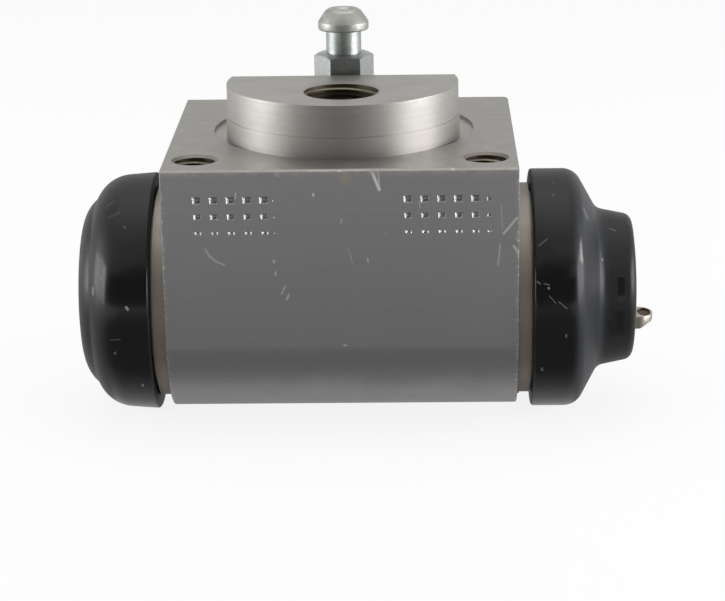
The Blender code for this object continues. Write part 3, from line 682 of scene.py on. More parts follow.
# %% The marks laid over the skin
STAIN_FINISH = ((0.56, 0.58, 0.33), 0.5)
SCRATCH_FINISH = ((0.92, 0.91, 0.88), 0.62)
BURR_FINISH = ((0.80, 0.79, 0.76), 0.55)
# The pale band under the top edge is a painted highlight.
TOP_EDGE_HIGHLIGHT_FINISH = ((0.62, 0.60, 0.55), 0.5)
BURR_X = (25.15, 25.75)
TOP_EDGE_HIGHLIGHT_Z = (-1.1, -0.2)
BURR_NOISE = (1.7, 4.0, 0.7)
BURR_SHARPNESS = (0.50, 0.62)
TOP_EDGE_HIGHLIGHT_NOISE = (0.9, 3.0, 0.6)
TOP_EDGE_HIGHLIGHT_SHARPNESS = (0.35, 0.6)


def on_front(marks):
    """Gives marks drawn as (x, z) their place in depth on the front face."""
    placed = []
    for (x, z), (x_end, z_end), width, strength in marks:
        placed.append(((x, FRONT_MM, z), (x_end, FRONT_MM, z_end), width, strength))
    return placed


tree = skin.node_tree
shader = tree.nodes["Principled BSDF"]
vector = millimetres(tree)
lay_over(tree, shader, strokes_mask(tree, vector, on_front(STAINS)), *STAIN_FINISH)
lay_over(tree, shader, strokes_mask(tree, vector, on_front(SCRATCHES)), *SCRATCH_FINISH)
places = add_node(tree, "ShaderNodeSeparateXYZ")
feed(tree, places.inputs[0], vector)
to_end = remap(tree, maths(tree, "ABSOLUTE", places.outputs["X"]), *BURR_X)
to_top = remap(tree, places.outputs["Z"], *TOP_EDGE_HIGHLIGHT_Z)
ragged = remap(tree, noise(tree, vector, *BURR_NOISE), *BURR_SHARPNESS)
lay_over(tree, shader, maths(tree, "MULTIPLY", to_end, ragged), *BURR_FINISH)
# The pale band just under the top edge: a painted highlight of the light from above.
uneven = remap(tree, noise(tree, vector, *TOP_EDGE_HIGHLIGHT_NOISE), *TOP_EDGE_HIGHLIGHT_SHARPNESS)
lay_over(tree, shader, maths(tree, "MULTIPLY", to_top, uneven), *TOP_EDGE_HIGHLIGHT_FINISH)
print("skin nodes:", len(tree.nodes))

# %% [markdown]
# A warm brown film has dried on the front of both necks, at the level of the bore, as old fluid leaves it.
# Its mask is two ramps: one in height from the bore's axis, and one towards the front.

# %% The warm stain on the necks
NECK_STAIN_HEIGHT = (14.0, 5.0)
NECK_STAIN_Y = (-14.0, -18.0)
NECK_STAIN_STRENGTH = 0.9
NECK_STAIN_FINISH = ((0.56, 0.49, 0.43), 0.52)

tree = turned_neck.node_tree
shader = tree.nodes["Principled BSDF"]
places = add_node(tree, "ShaderNodeSeparateXYZ")
feed(tree, places.inputs[0], millimetres(tree))
off_middle = maths(tree, "ABSOLUTE", maths(tree, "SUBTRACT", places.outputs["Z"], BORE.z / MM))
facing = remap(tree, places.outputs["Y"], *NECK_STAIN_Y)
stain = maths(tree, "MULTIPLY", remap(tree, off_middle, *NECK_STAIN_HEIGHT), facing)
lay_over(tree, shader, maths(tree, "MULTIPLY", stain, NECK_STAIN_STRENGTH), *NECK_STAIN_FINISH)
print("neck nodes:", len(tree.nodes))

# %% [markdown]
# The small pieces have finishes of their own. Bright zinc plate is bluish and mottled. The pistons are
# anodised, so they look warm and slightly brown. The hidden steel parts are plain bright metal.

# %% Finishes of the small metal pieces
zinc_plate = worked_metal(
    "zinc_plate",
    (0.280, 0.300, 0.290),
    (0.420, 0.438, 0.425),
    (0.26, 0.40),
    (stretched_lines, {"Stretch": (1.0, 1.0, 1.0)}),
    ORIGIN,
    patch_size=1.6,
    depth=0.015 * MM,
)
scuffed_plate = worked_metal(
    "scuffed_plate",
    (0.290, 0.285, 0.266),
    (0.440, 0.436, 0.410),
    (0.44, 0.56),
    (stretched_lines, {"Stretch": (1.0, 1.0, 1.0)}),
    ORIGIN,
    patch_size=1.4,
    depth=0.015 * MM,
)
anodised = worked_metal(
    "anodised_piston",
    (0.36, 0.335, 0.285),
    (0.54, 0.505, 0.440),
    (0.34, 0.46),
    (turned_lines, {"Feed": 0.2}),
    BORE_ON_Z,
    patch_size=3.0,
)
# A lighter finish for the pistons' broken edges: a painted highlight along each edge.
painted_edge_highlight = worked_metal(
    "painted_edge_highlight",
    (0.55, 0.53, 0.49),
    (0.78, 0.76, 0.71),
    (0.34, 0.46),
    (stretched_lines, {"Stretch": (2.0, 2.0, 2.0)}),
    ORIGIN,
    patch_size=1.5,
)
# A dark red-brown finish for the shallow dish in each piston's lip.
dark_red_brown_dish = worked_metal(
    "dark_red_brown_dish",
    (0.050, 0.028, 0.022),
    (0.120, 0.075, 0.060),
    (0.40, 0.55),
    (stretched_lines, {"Stretch": (1.5, 0.2, 1.5)}),
    ORIGIN,
    patch_size=2.0,
)
pressed_sheet = worked_metal(
    "pressed_sheet",
    (0.36, 0.36, 0.36),
    (0.52, 0.52, 0.51),
    (0.28, 0.40),
    (stretched_lines, {"Stretch": (1.0, 1.0, 1.0)}),
    ORIGIN,
    patch_size=3.0,
)
spring_wire = worked_metal(
    "spring_wire",
    (0.30, 0.30, 0.31),
    (0.46, 0.46, 0.47),
    (0.22, 0.34),
    (stretched_lines, {"Stretch": (2.0, 2.0, 2.0)}),
    ORIGIN,
    patch_size=3.0,
)
print("metal finishes:", len(bpy.data.materials) - 1)

# %% [markdown]
# ## Rubber
#
# A dust boot is moulded in a black compound that blooms to a dull grey where it has been handled. It needs
# very little colour: what shows is a soft sheen that comes and goes with the bloom, and pale specks of dust.
# A single even gloss would look like fresh plastic. Dust lies on the upper side, on both noses and on the
# rims next to the block, and is wiped off in smears. All places are in millimetres.

# %% Scuffs and smears on the boots
SCUFFS = (
    ((28.76, -21.30, -12.24), (29.96, -20.66, -11.40), 0.12, 0.4),
    ((31.14, -14.31, -6.47), (31.13, -14.41, -6.52), 0.18, 0.5),
    ((38.30, -16.50, -15.73), (38.30, -16.57, -15.82), 0.22, 0.7),
    ((39.68, -11.90, -12.33), (40.50, -12.10, -12.62), 0.14, 0.5),
    ((28.45, -23.75, -16.98), (28.80, -23.83, -17.24), 0.18, 0.4),
    ((29.39, -23.83, -17.24), (30.18, -23.90, -17.45), 0.13, 0.35),
    ((30.05, -24.01, -17.84), (30.09, -24.03, -17.91), 0.22, 0.7),
    ((30.17, -24.30, -19.01), (31.11, -24.49, -20.02), 0.11, 0.35),
    ((31.51, -24.46, -19.82), (32.71, -24.59, -20.81), 0.11, 0.4),
    ((32.62, -24.58, -24.81), (32.62, -24.54, -25.12), 0.18, 0.4),
    ((29.23, -22.98, -30.41), (29.25, -22.80, -30.78), 0.22, 0.4),
    ((35.71, -14.78, -8.67), (36.06, -15.14, -9.64), 0.70, 0.30),
    ((-31.66, -18.57, -9.61), (-31.65, -18.70, -9.73), 0.18, 0.4),
    ((-34.98, -22.15, -16.31), (-34.98, -22.23, -16.50), 0.17, 0.35),
    ((-36.36, -21.41, -18.11), (-36.37, -21.63, -18.94), 0.32, 0.6),
    ((-31.23, -24.27, -20.18), (-31.04, -24.33, -20.47), 0.26, 0.9),
    ((-33.34, -23.51, -27.59), (-33.19, -23.64, -27.24), 0.17, 0.35),
    ((-29.64, -21.32, -33.03), (-29.67, -21.12, -33.30), 0.24, 0.7),
    ((-34.45, -16.97, -36.34), (-34.49, -16.50, -36.66), 0.28, 0.5),
    ((-33.72, -23.89, -25.24), (-32.36, -24.22, -25.09), 0.14, 0.2),
    ((-34.64, -14.37, -7.66), (-33.78, -13.95, -7.02), 0.40, 0.10),
    ((-33.99, -16.58, -8.61), (-32.66, -16.40, -8.06), 0.40, 0.10),
)
SMEARS = (
    ((34.90, -19.96, -11.66), (35.12, -21.52, -14.24), 0.90, 0.8),
    ((40.90, -18.10, -23.80), (41.00, -17.30, -27.30), 1.00, 0.8),
    ((39.40, -18.60, -25.20), (39.90, -18.20, -26.60), 0.80, 0.7),
    ((29.40, -23.10, -14.90), (33.60, -22.80, -14.20), 0.60, 0.5),
    ((-30.20, -22.60, -14.80), (-28.60, -22.40, -14.20), 0.90, 0.7),
    ((-36.80, -19.60, -13.20), (-36.90, -20.30, -14.60), 0.70, 0.6),
)
print("scuffs and smears:", len(SCUFFS) + len(SMEARS))

# %% Finishes of the rubber pieces
DUST_Z = (-13.3, -10.3)
DUST_PATCH = 4.0
DUST_WAVE = 6.0
RIGHT_NOSE_DUST = (33.7, 34.6, 0.0, 0.9)
LEFT_NOSE_DUST = (-34.0, -35.0, 0.0, 0.8)
RIM_X = (28.25, 28.1)
SLOPE_X = (39.6, 38.4)
SLOPE_BLOOM = (0.022, 0.0235, 0.027)
# The mould mark is a moulded dimple that is not modelled. Its rectangle keeps the black rubber as painted
# shade.
MOULD_MARK_X = (40.50, 41.60)
MOULD_MARK_Z = (-22.45, -18.30)
MOULD_MARK_STRENGTH = 0.9
RUBBER_SPECULAR = 0.20
CLEAN_COAT = 0.55
COAT_ROUGHNESS = 0.16
SPECKS = {"Spacing": 2.6, "Reach": 0.055}
SPECK_STRENGTH = 0.5
SPECK_COLOUR = (0.20, 0.20, 0.19)
SCUFF_FINISH = ((0.22, 0.215, 0.20), 0.6)
RUBBER_GRAIN = (6.0, 2.0)
RUBBER_GRAIN_DEPTH = 0.01 * MM


def within(tree, value, span):
    """One where the value lies within the span, and nought elsewhere."""
    above = maths(tree, "GREATER_THAN", value, span[0])
    below = maths(tree, "LESS_THAN", value, span[1])
    return maths(tree, "MULTIPLY", above, below)


def rubber(name, clean, dusty, gloss, speck_share):
    """Black rubber. Its upper side, its noses and its rims are dull with dust, and the rest is glossy."""
    finish, tree, shader = new_finish(name, 0.0, gloss[0])
    shader.inputs["Specular IOR Level"].default_value = RUBBER_SPECULAR
    shader.inputs["Coat Roughness"].default_value = COAT_ROUGHNESS
    vector = millimetres(tree)
    places = add_node(tree, "ShaderNodeSeparateXYZ")
    feed(tree, places.inputs[0], vector)
    along, _, upwards = places.outputs
    patches = use_group(tree, tone_patches, Vector=vector, Size=DUST_PATCH)
    level = maths(tree, "ADD", upwards, maths(tree, "MULTIPLY", patches, DUST_WAVE))
    upper = remap(tree, level, *DUST_Z)
    right_nose = remap(tree, along, *RIGHT_NOSE_DUST)
    left_nose = remap(tree, along, *LEFT_NOSE_DUST)
    rim = remap(tree, maths(tree, "ABSOLUTE", along), *RIM_X)
    noses = maths(tree, "MAXIMUM", right_nose, left_nose)
    handled = maths(tree, "MAXIMUM", maths(tree, "MAXIMUM", noses, rim), upper)
    # Smears wipe the dust off. The mould mark's rectangle keeps the black rubber too, as painted shade of a
    # dimple that is not modelled.
    in_mark = maths(
        tree, "MULTIPLY", within(tree, along, MOULD_MARK_X), within(tree, upwards, MOULD_MARK_Z)
    )
    smeared = strokes_mask(tree, vector, SMEARS)
    wiped_and_painted_shade = maths(tree, "MAXIMUM", smeared, maths(tree, "MULTIPLY", in_mark, MOULD_MARK_STRENGTH))
    dust = maths(tree, "MULTIPLY", handled, maths(tree, "SUBTRACT", 1.0, wiped_and_painted_shade))
    grain = noise(tree, vector, *RUBBER_GRAIN)
    specks = use_group(tree, nicks, Vector=vector, Share=speck_share, **SPECKS)
    slope = maths(tree, "MULTIPLY", right_nose, remap(tree, along, *SLOPE_X))
    bloom = mix_colours(tree, slope, dusty, SLOPE_BLOOM)
    colour = mix_colours(tree, dust, clean, bloom)
    speckled = mix_colours(tree, maths(tree, "MULTIPLY", specks, SPECK_STRENGTH), colour, SPECK_COLOUR)
    feed(tree, shader.inputs["Base Color"], speckled)
    feed(tree, shader.inputs["Roughness"], remap(tree, dust, 0.0, 1.0, gloss[0], gloss[1]))
    feed(tree, shader.inputs["Coat Weight"], remap(tree, dust, 0.0, 1.0, CLEAN_COAT, 0.0))
    bump(tree, shader, grain, RUBBER_GRAIN_DEPTH)
    return finish


boot_rubber = rubber("boot_rubber", (0.0026, 0.0026, 0.0030), (0.012, 0.012, 0.0125), (0.24, 0.42), 0.08)
tree = boot_rubber.node_tree
shader = tree.nodes["Principled BSDF"]
vector = millimetres(tree)
lay_over(tree, shader, strokes_mask(tree, vector, SCUFFS), *SCUFF_FINISH)
seal_rubber = rubber("seal_rubber", (0.010, 0.010, 0.010), (0.022, 0.022, 0.022), (0.40, 0.55), 0.0)
print("all finishes:", len(bpy.data.materials) - 1)

# %% [markdown]
# ## Modelling helpers
#
# Nearly every piece here came off a lathe, so nearly every piece starts as one vertex that is extruded from
# corner to corner of a section. Spun about its axis, the section becomes a turned piece. Filled and extruded
# sideways, it becomes a bar. Corners may carry a radius, which an arc of short edges then follows.

# %% Outlines
ARC_TOLERANCE = 0.01 * MM


def arc(centre, radius, start, end, tolerance=ARC_TOLERANCE):
    """Points along an arc in an outline, from the angle start to the angle end."""
    step = 2 * math.acos(1 - min(tolerance / radius, 1))
    count = max(1, math.ceil(abs(end - start) / step))
    angles = [start + (end - start) * i / count for i in range(count + 1)]
    return [(centre[0] + radius * math.cos(a), centre[1] + radius * math.sin(a)) for a in angles]


def rounded(corners):
    """A closed outline through corners, each (x, y) or (x, y, radius of its round).

    A round is made smaller where the edges beside it are too short for it.
    """
    count = len(corners)
    points = [Vector(corner[:2]) for corner in corners]
    edges = [points[(i + 1) % count] - points[i] for i in range(count)]
    half_turns = [edges[i - 1].angle(edges[i]) / 2 for i in range(count)]
    radii = [corner[2] if len(corner) > 2 else 0 for corner in corners]
    wanted = [radius * math.tan(half) for radius, half in zip(radii, half_turns)]
    sums = [wanted[i] + wanted[(i + 1) % count] for i in range(count)]
    shares = [edge.length / max(edge.length, needed) for edge, needed in zip(edges, sums)]
    outline = []
    for i, here in enumerate(points):
        reach = wanted[i] * min(shares[i - 1], shares[i])
        if not reach:
            outline.append(tuple(here))
            continue
        first = here - edges[i - 1].normalized() * reach
        last = here + edges[i].normalized() * reach
        radius = reach / math.tan(half_turns[i])
        middle = here + ((first + last) / 2 - here).normalized() * radius / math.cos(half_turns[i])
        start = math.atan2(first.y - middle.y, first.x - middle.x)
        sweep = (math.atan2(last.y - middle.y, last.x - middle.x) - start + math.pi) % TURN - math.pi
        outline += arc(middle, radius, start, start + sweep)
    return outline


def inside_of(line, wall):
    """The inner corners of an even wall, in reverse order, from the corners along its outer side.

    The line keeps the wall on its right. Its first and last corners only aim its end edges.
    """
    inner = []
    for before, here, after in zip(line, line[1:], line[2:]):
        first = (Vector(here[:2]) - Vector(before[:2])).normalized()
        second = (Vector(after[:2]) - Vector(here[:2])).normalized()
        across = Vector((first.y + second.y, -first.x - second.x))
        place = Vector(here[:2]) + across * wall / (1 + first.dot(second))
        bends_out = first.x * second.y > first.y * second.x
        turn = here[2] + wall if bends_out else max(here[2] - wall, 0)
        inner.append((place.x, place.y, turn))
    return inner[::-1]


# %% Drawing a chain and closing a mesh
MERGE_DISTANCE = 0.0005 * MM


def draw_chain(name, points):
    """Extrudes one vertex from point to point, and stays in edit mode."""
    bpy.ops.object.select_all(action="DESELECT")
    bpy.ops.mesh.primitive_plane_add(size=MM, location=points[0])
    piece = bpy.context.object
    piece.name = name
    bpy.ops.object.mode_set(mode="EDIT")
    bpy.ops.mesh.merge(type="CENTER")
    for here, there in zip(points, points[1:]):
        bpy.ops.mesh.extrude_region_move(TRANSFORM_OT_translate={"value": there - here})
    bpy.ops.mesh.select_all(action="SELECT")
    return piece


def face_outwards():
    """Turns the faces of the shell in edit mode outwards, which its signed volume then proves."""
    bpy.ops.mesh.normals_make_consistent(inside=False)
    shell = bmesh.from_edit_mesh(bpy.context.edit_object.data)
    if shell.calc_volume(signed=True) < 0:
        bpy.ops.mesh.flip_normals()


def close_mesh(piece, finish):
    """Merges doubles, turns the faces outwards, and puts the object's own place into its mesh."""
    bpy.ops.mesh.select_all(action="SELECT")
    bpy.ops.mesh.remove_doubles(threshold=MERGE_DISTANCE)
    face_outwards()
    bpy.ops.object.mode_set(mode="OBJECT")
    bpy.ops.object.transform_apply(location=True, rotation=True, scale=True)
    piece.data.materials.append(finish)
    return piece


# %% Turned pieces, bars, plates and blocks
LATHE_STEPS = 96


def lathe(name, outline, finish, axis=ALONG_X, centre=BORE, steps=LATHE_STEPS):
    """Turns an outline of (place along the axis, radius). It may be open where both ends lie on the axis."""
    across = ALONG_Z if axis is ALONG_X else ALONG_X
    points = [centre + axis * place + across * radius for place, radius in outline]
    if outline[0][1] or outline[-1][1]:
        points += points[:1]
    piece = draw_chain(name, points)
    bpy.ops.mesh.spin(steps=steps, angle=TURN, center=centre, axis=axis)
    return close_mesh(piece, finish)


def bar(name, outline, length, finish):
    """Fills an outline of (y, z) and extrudes it along X, centred."""
    piece = draw_chain(name, [Vector((-length / 2, y, z)) for y, z in outline])
    bpy.ops.mesh.edge_face_add()
    bpy.ops.mesh.extrude_region_move(TRANSFORM_OT_translate={"value": (length, 0, 0)})
    return close_mesh(piece, finish)


def plate(name, plan, low, high, finish):
    """Fills a plan of (x, y) at the level low and extrudes it up to the level high."""
    piece = draw_chain(name, [Vector((x, y, low)) for x, y in plan])
    bpy.ops.mesh.edge_face_add()
    bpy.ops.mesh.extrude_region_move(TRANSFORM_OT_translate={"value": (0, 0, high - low)})
    return close_mesh(piece, finish)


def block(name, low, high, finish):
    """A plain cutter between two corners."""
    low = Vector(low)
    high = Vector(high)
    bpy.ops.object.select_all(action="DESELECT")
    bpy.ops.mesh.primitive_cube_add(size=1, location=(low + high) / 2, scale=high - low)
    piece = bpy.context.object
    piece.name = name
    bpy.ops.object.transform_apply(location=True, rotation=True, scale=True)
    piece.data.materials.append(finish)
    return piece


# %% [markdown]
# Booleans join pieces and cut them, as a weld and a drill do. The exact solver copes with faces that touch,
# which the fast one doesn't, and its Transfer mode carries the tool's finish to the faces that the tool
# leaves. It also leaves doubled points and slivers along the cut, which would be open seams, so a clean-up
# follows each time.

# %% Booleans
def shape_with(piece, operation, tool):
    """Joins, cuts or trims a piece with a tool. The faces that the tool leaves wear the tool's finish."""
    boolean = piece.modifiers.new(tool.name, "BOOLEAN")
    boolean.operation = operation
    boolean.object = tool
    boolean.solver = "EXACT"
    boolean.material_mode = "TRANSFER"
    bpy.ops.object.select_all(action="DESELECT")
    bpy.context.view_layer.objects.active = piece
    piece.select_set(True)
    bpy.ops.object.modifier_apply(modifier=boolean.name)
    bpy.data.objects.remove(tool, do_unlink=True)
    bpy.ops.object.mode_set(mode="EDIT")
    bpy.ops.mesh.select_all(action="SELECT")
    bpy.ops.mesh.remove_doubles(threshold=MERGE_DISTANCE)
    bpy.ops.mesh.dissolve_degenerate(threshold=MERGE_DISTANCE)
    bpy.ops.object.mode_set(mode="OBJECT")


# %% Finishing a piece
SMOOTH_ANGLE = math.radians(30)
SHARP_ANGLE = math.radians(50)


def break_edges(piece, width, material=-1):
    """Bevels the sharp edges of the active piece. The new faces wear the material of that slot."""
    edges = piece.modifiers.new("edges", "BEVEL")
    edges.material = material
    edges.width = width
    edges.segments = 2
    edges.limit_method = "ANGLE"
    edges.angle_limit = SHARP_ANGLE
    bpy.ops.object.modifier_apply(modifier=edges.name)


def smooth(piece):
    """Smooth shading up to SMOOTH_ANGLE, with broad faces kept flat by weighted normals."""
    bpy.ops.object.select_all(action="DESELECT")
    bpy.context.view_layer.objects.active = piece
    piece.select_set(True)
    bpy.ops.object.shade_smooth_by_angle(angle=SMOOTH_ANGLE)
    weighted = piece.modifiers.new("weighted", "WEIGHTED_NORMAL")
    weighted.keep_sharp = True
    bpy.ops.object.modifier_apply(modifier=weighted.name)


def finish_piece(piece, body, slot, *nodes):
    """Smooths a finished piece, ties it to its body and hides the nodes it stands for. The slot is not used.
    """
    smooth(piece)
    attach(piece, body)
    if nodes:
        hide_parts(*nodes)
    print(piece.name, len(piece.data.polygons), "faces")


# %% [markdown]
# ## Housing: the extruded block
#
# The housing starts as a length of aluminium extrusion: flat in front, round underneath and with a thick
# flange behind. Its section is drawn once, filled and extruded along the bore. Starting from a cube and
# bevelling it would give the same block, but the fillet under the flange is easier to draw than to bevel.
# The two sawn ends get a very small bevel, because a perfectly sharp edge never catches the light.

# %% The section
FLANGE_THICKNESS = 13.0 * MM
FLANGE_FILLET = 5.0 * MM
BACK_CORNER = 2.0 * MM
EDGE_BREAK = 0.3 * MM
BARREL_RADIUS = 17.4 * MM
BODY_LENGTH = 51.6 * MM
END_BEVEL = 0.16 * MM
PAST = 2.0 * MM

bore_to_front = BORE.y - FRONT_Y
flat_drop = math.sqrt(BARREL_RADIUS**2 - bore_to_front**2)
front_angle = math.pi + math.atan2(flat_drop, bore_to_front)
rise = -BORE.z - FLANGE_THICKNESS - FLANGE_FILLET
spread = BARREL_RADIUS + FLANGE_FILLET
run = math.sqrt(spread**2 - rise**2)
fillet_angle = math.atan2(rise, run)
section = [(FRONT_Y + EDGE_BREAK, 0), (FRONT_Y, -EDGE_BREAK)]
section += arc((BORE.y, BORE.z), BARREL_RADIUS, front_angle, TURN + fillet_angle)
section += arc((BORE.y + run, BORE.z + rise), FLANGE_FILLET, math.pi + fillet_angle, math.pi / 2)
section += arc((BACK_Y - BACK_CORNER, BACK_CORNER - FLANGE_THICKNESS), BACK_CORNER, -math.pi / 2, 0)
section += [(BACK_Y, -EDGE_BREAK), (BACK_Y - EDGE_BREAK, 0)]
print("section of", len(section), "points")

# %% The bar, with its sawn ends and milled top
MILLED_SLOT = 1
SAWN_SLOT = 2

housing = bar("housing_body", section, BODY_LENGTH, skin)
housing.data.materials.append(milled)
housing.data.materials.append(sawn)
for face in housing.data.polygons:
    if abs(face.normal.x) > 0.9:
        face.material_index = SAWN_SLOT
    elif face.normal.z > 0.5 and face.center.z > -EDGE_BREAK:
        face.material_index = MILLED_SLOT
print("bar of", len(housing.data.polygons), "faces")

# %% The small bevel round each sawn end
bpy.ops.object.mode_set(mode="EDIT")
bpy.ops.mesh.select_mode(type="FACE")
bpy.ops.mesh.select_all(action="DESELECT")
bpy.ops.object.mode_set(mode="OBJECT")
for face in housing.data.polygons:
    face.select = face.material_index == SAWN_SLOT
bpy.ops.object.mode_set(mode="EDIT")
bpy.ops.mesh.region_to_loop()
bpy.ops.mesh.bevel(offset=END_BEVEL, segments=2, affect="EDGES")
bpy.ops.mesh.select_mode(type="VERT")
bpy.ops.object.mode_set(mode="OBJECT")
print("bevelled to", len(housing.data.polygons), "faces")

# %% The rounded back right corner
CORNER_ROUND = 1.7 * MM
CORNER_PAST = 1.0 * MM

corner_x = BODY_LENGTH / 2
round_middle = (corner_x - CORNER_ROUND, BACK_Y - CORNER_ROUND)
corner_plan = [(corner_x + CORNER_PAST, BACK_Y + CORNER_PAST), (round_middle[0], BACK_Y + CORNER_PAST)]
corner_plan += arc(round_middle, CORNER_ROUND, math.pi / 2, 0)
corner_plan += [(corner_x + CORNER_PAST, round_middle[1])]
corner_tool = plate("rounded_corner", corner_plan, -FLANGE_THICKNESS - PAST, PAST, sawn)
shape_with(housing, "DIFFERENCE", corner_tool)
print("corner rounded:", len(housing.data.polygons), "faces")

# %% [markdown]
# ## Housing: fixing holes
#
# A drill leaves a cone at the bottom of a blind hole, and a countersink has broken the edge at its mouth.
# One outline function serves both fixing holes here, and the two ports further on. The holes come first,
# while the top is still one plain face, because the Boolean has least to get wrong then.

# %% Fixing holes
FIXING_SPACING = 42.4 * MM
FIXING_SETBACK = 6.65 * MM
FIXING_RADIUS = 3.0 * MM
FIXING_SINK = 0.4 * MM
FIXING_DEPTH = 11.0 * MM
DRILL_POINT = math.tan(math.radians(59))
PORT_STEPS = 96


def port(top, radius, sink, sink_depth, depth, drill_radius=0.0):
    """A port's outline below the level top: a countersink, a straight wall and the drill's cone."""
    bottom = top - depth
    return [
        (top + PAST, 0),
        (top + PAST, radius + sink),
        (top, radius + sink),
        (top - sink_depth, radius),
        (bottom, radius),
        (bottom - (radius - drill_radius) / DRILL_POINT, drill_radius),
    ]


def drilled(name, outline, centre, rim_level, rim_finish):
    """The turned cutter of a port or hole. Above rim_level it leaves the finish of a clean countersink."""
    tool = lathe(name, outline, oiled_thread, ALONG_Z, centre, PORT_STEPS)
    tool.data.materials.append(rim_finish)
    for face in tool.data.polygons:
        face.material_index = 1 if face.center.z > rim_level else 0
    return tool


fixing = port(0, FIXING_RADIUS, FIXING_SINK, FIXING_SINK, FIXING_DEPTH)
fixing_centres = {
    side: Vector((across, FRONT_Y + FIXING_SETBACK, 0))
    for side, across in (("right", FIXING_SPACING / 2), ("left", -FIXING_SPACING / 2))
}
for side, centre in fixing_centres.items():
    hole = drilled("fixing_" + side, fixing, centre, -FIXING_SINK, turned_neck)
    shape_with(housing, "DIFFERENCE", hole)
print("two fixing holes drilled:", len(housing.data.polygons), "faces")

# %% [markdown]
# ## Housing: turned surfaces
#
# A lathe then turns the two necks that the boots snap onto, each with a groove for the boot's lip. A second
# set-up turns the pilot boss and a shallow off-centre recess round it. Each is a turned tool here, joined to
# the bar or cut from it, and the Boolean's Transfer mode carries the tool's finish across.

# %% Necks
NECK_RADIUS = 15.85 * MM
NECK_CHAMFER = 0.8 * MM
NECK_ROOT_STEP = 0.25 * MM
NECK_ROOT_WIDTH = 0.4 * MM
SEAT_GAP = 0.3 * MM
BOOT_STANDOFF = 2.25 * MM
BOOT_LIP_WIDTH = 1.7 * MM
BOOT_GROOVE_DEPTH = 1.25 * MM
BODY_END = BODY_LENGTH / 2
BOOT_START = BODY_END + BOOT_STANDOFF
GROOVE_FLOOR = NECK_RADIUS - BOOT_GROOVE_DEPTH
TURNED_STEPS = 160

groove_start = BOOT_START - SEAT_GAP
groove_end = BOOT_START + BOOT_LIP_WIDTH + SEAT_GAP
right_neck = [
    (BODY_END + NECK_ROOT_WIDTH, NECK_RADIUS + NECK_ROOT_STEP),
    (BODY_END + NECK_ROOT_WIDTH, NECK_RADIUS),
    (groove_start, NECK_RADIUS),
    (groove_start, GROOVE_FLOOR),
    (groove_end, GROOVE_FLOOR),
    (groove_end, NECK_RADIUS),
    (NECK_END - NECK_CHAMFER, NECK_RADIUS),
    (NECK_END, NECK_RADIUS - NECK_CHAMFER),
    (NECK_END, 0),
]
left_neck = [(-place, radius) for place, radius in reversed(right_neck)]
shape_with(housing, "UNION", lathe("necks", left_neck + right_neck, turned_neck, steps=TURNED_STEPS))
print("necks out to", round(NECK_END / MM, 2), "mm")

# %% Recess and pilot boss
PILOT_RADIUS = 17.65 * MM
PILOT_STEP_HEIGHT = 3.1 * MM
PILOT_STEP = 0.15 * MM
PILOT_FLAT = 4.2 * MM
PILOT_EDGE = 0.07 * MM
PILOT_STEP_EDGE = 0.04 * MM
RECESS_RADIUS = 19.8 * MM
RECESS_BEHIND_PILOT = 3.1 * MM
RECESS_DEPTH = 0.5 * MM

above = PILOT_HEIGHT + PAST
recess = [(-RECESS_DEPTH, 0), (-RECESS_DEPTH, RECESS_RADIUS), (above, RECESS_RADIUS), (above, 0)]
recess_centre = Vector((0, RECESS_BEHIND_PILOT, 0))
recess_tool = lathe("recess", recess, turned_boss, ALONG_Z, recess_centre, TURNED_STEPS)
shape_with(housing, "DIFFERENCE", recess_tool)
upper = PILOT_RADIUS - PILOT_STEP
foot = -RECESS_DEPTH - PAST
pilot = [
    (foot, 0),
    (foot, PILOT_RADIUS),
    (PILOT_STEP_HEIGHT, PILOT_RADIUS, PILOT_STEP_EDGE),
    (PILOT_STEP_HEIGHT, upper),
    (PILOT_HEIGHT, upper, PILOT_EDGE),
    (PILOT_HEIGHT, 0),
]
boss = lathe("pilot_boss", rounded(pilot), turned_boss, ALONG_Z, Vector((0, 0, 0)), TURNED_STEPS)
behind = PILOT_RADIUS + PAST
flat = block("pilot_flat", (-behind, PILOT_FLAT, foot - PAST), (behind, behind, above), milled)
shape_with(boss, "DIFFERENCE", flat)
shape_with(housing, "UNION", boss)
print("boss up to", round(PILOT_HEIGHT / MM, 2), "mm")

# %% [markdown]
# ## Housing: bore and ports
#
# The bore runs right through. The inlet port opens in the boss above it, and the bleeder port stands behind,
# with a slanted drilling from its foot to the bore's highest point.

# %% Bore and ports
BORE_RADIUS = 11.1 * MM
BORE_LEAD_IN = 0.8 * MM
INLET_RADIUS = 5.6 * MM
INLET_DISH = 1.05 * MM
INLET_DISH_DEPTH = 0.2 * MM
INLET_DEPTH = 12.0 * MM
INLET_DRILL_RADIUS = 1.5 * MM
BLEEDER_THREAD_RADIUS = 3.5 * MM
BLEEDER_SINK = 0.4 * MM
BLEEDER_PORT_DEPTH = 8.5 * MM
BLEEDER_DRILL_RADIUS = 1.2 * MM
BORE_STEPS = 128
SMALL_STEPS = 48

past = NECK_END + PAST
mouth = BORE_RADIUS + BORE_LEAD_IN
right_bore = [(NECK_END - BORE_LEAD_IN, BORE_RADIUS), (NECK_END, mouth), (past, mouth), (past, 0)]
left_bore = [(-place, radius) for place, radius in reversed(right_bore)]
shape_with(housing, "DIFFERENCE", lathe("bore", left_bore + right_bore, honed_bore, steps=BORE_STEPS))

